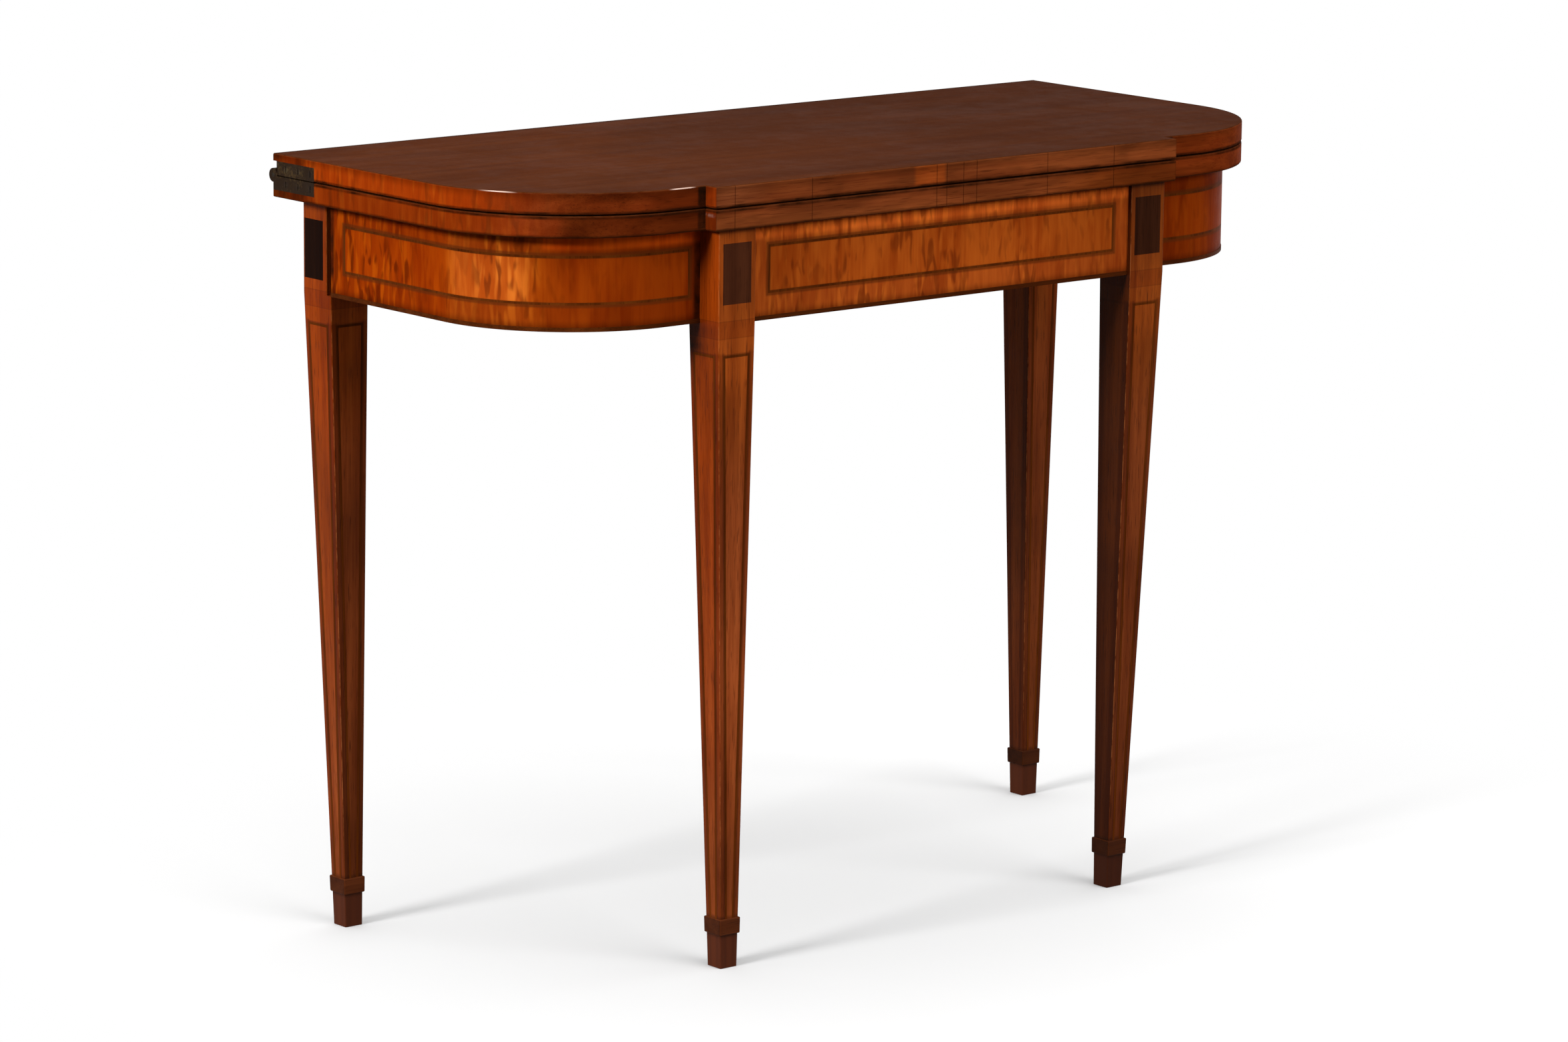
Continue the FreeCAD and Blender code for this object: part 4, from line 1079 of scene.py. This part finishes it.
def seenRay(tree):  # 1 for rays that show the background: from the camera, a reflection or through glass
    path = tree.nodes.new("ShaderNodeLightPath").outputs
    return largest(tree, path["Is Camera Ray"], path["Is Glossy Ray"], path["Is Transmission Ray"])


def setLamps(plan):
    for name, lamp in plan["lamps"].items():
        light = bpy.data.lights.new(name, "SUN")
        light.energy = lamp["strength"]
        light.angle = math.radians(lamp["spread"])
        holder = bpy.data.objects.new(name, light)
        scene.collection.objects.link(holder)
        across, above = math.radians(lamp["azimuth"]), math.radians(lamp["elevation"])
        source = Vector((math.cos(across) * math.cos(above), math.sin(across) * math.cos(above), math.sin(above)))
        holder.rotation_mode = "QUATERNION"
        holder.rotation_quaternion = source.to_track_quat("Z", "Y")


def setWorld(plan):
    world = bpy.data.worlds.new("softRoom")
    scene.world = world
    tree = emptyTree(world)
    direction = tree.nodes.new("ShaderNodeTexCoord").outputs["Generated"]
    split = tree.nodes.new("ShaderNodeSeparateXYZ")
    feed(tree, split.inputs[0], direction)
    height = split.outputs["Z"]
    towards = measure(tree, "DOT_PRODUCT", direction, plan["back"])
    level = softStep(tree, towards, *plan["fillFrom"], plan["fillFront"], plan["fillBack"])
    above = softStep(tree, height, *plan["overheadFrom"], 0.0, plan["overhead"])
    fill = tree.nodes.new("ShaderNodeBackground")
    white = tree.nodes.new("ShaderNodeBackground")
    for background in (fill, white):
        background.inputs["Color"].default_value = plan["white"]
    feed(tree, fill.inputs["Strength"], calc(tree, "ADD", level, above))
    seen = product(tree, seenRay(tree), softStep(tree, height, *plan["whiteFade"]))
    show(tree, "ShaderNodeOutputWorld", mixShader(tree, seen, fill.outputs[0], white.outputs[0]))


def setFloor(plan):
    finish = bpy.data.materials.new("paleFloor")
    tree = emptyTree(finish)
    bounce = tree.nodes.new("ShaderNodeBsdfDiffuse")
    bounce.inputs["Color"].default_value = (*[plan["floorBounce"]] * 3, 1.0)
    shown = tree.nodes.new("ShaderNodeBsdfDiffuse")
    shown.inputs["Color"].default_value = (*[plan["floorSeen"]] * 3, 1.0)
    white = tree.nodes.new("ShaderNodeEmission")
    white.inputs["Color"].default_value = plan["white"]
    spot = tree.nodes.new("ShaderNodeTexCoord").outputs["Object"]
    away = softStep(tree, measure(tree, "DISTANCE", spot, plan["shadowMiddle"]), *plan["shadowFrom"])
    faded = mixShader(tree, away, shown.outputs[0], white.outputs[0])
    show(tree, "ShaderNodeOutputMaterial", mixShader(tree, seenRay(tree), bounce.outputs[0], faded))
    edge = np.linspace(-plan["floorHalf"], plan["floorHalf"], plan["floorSteps"])
    x, y = np.meshgrid(edge, edge)
    points = np.stack([x, y, np.full_like(x, -plan["floorDrop"])], axis=2).reshape(-1, 3)
    newPiece("paleFloor", points, gridFaces(len(edge), len(edge)), finish)


setLamps(studioPlan)
setWorld(studioPlan)
setFloor(studioPlan)
print("studio set")
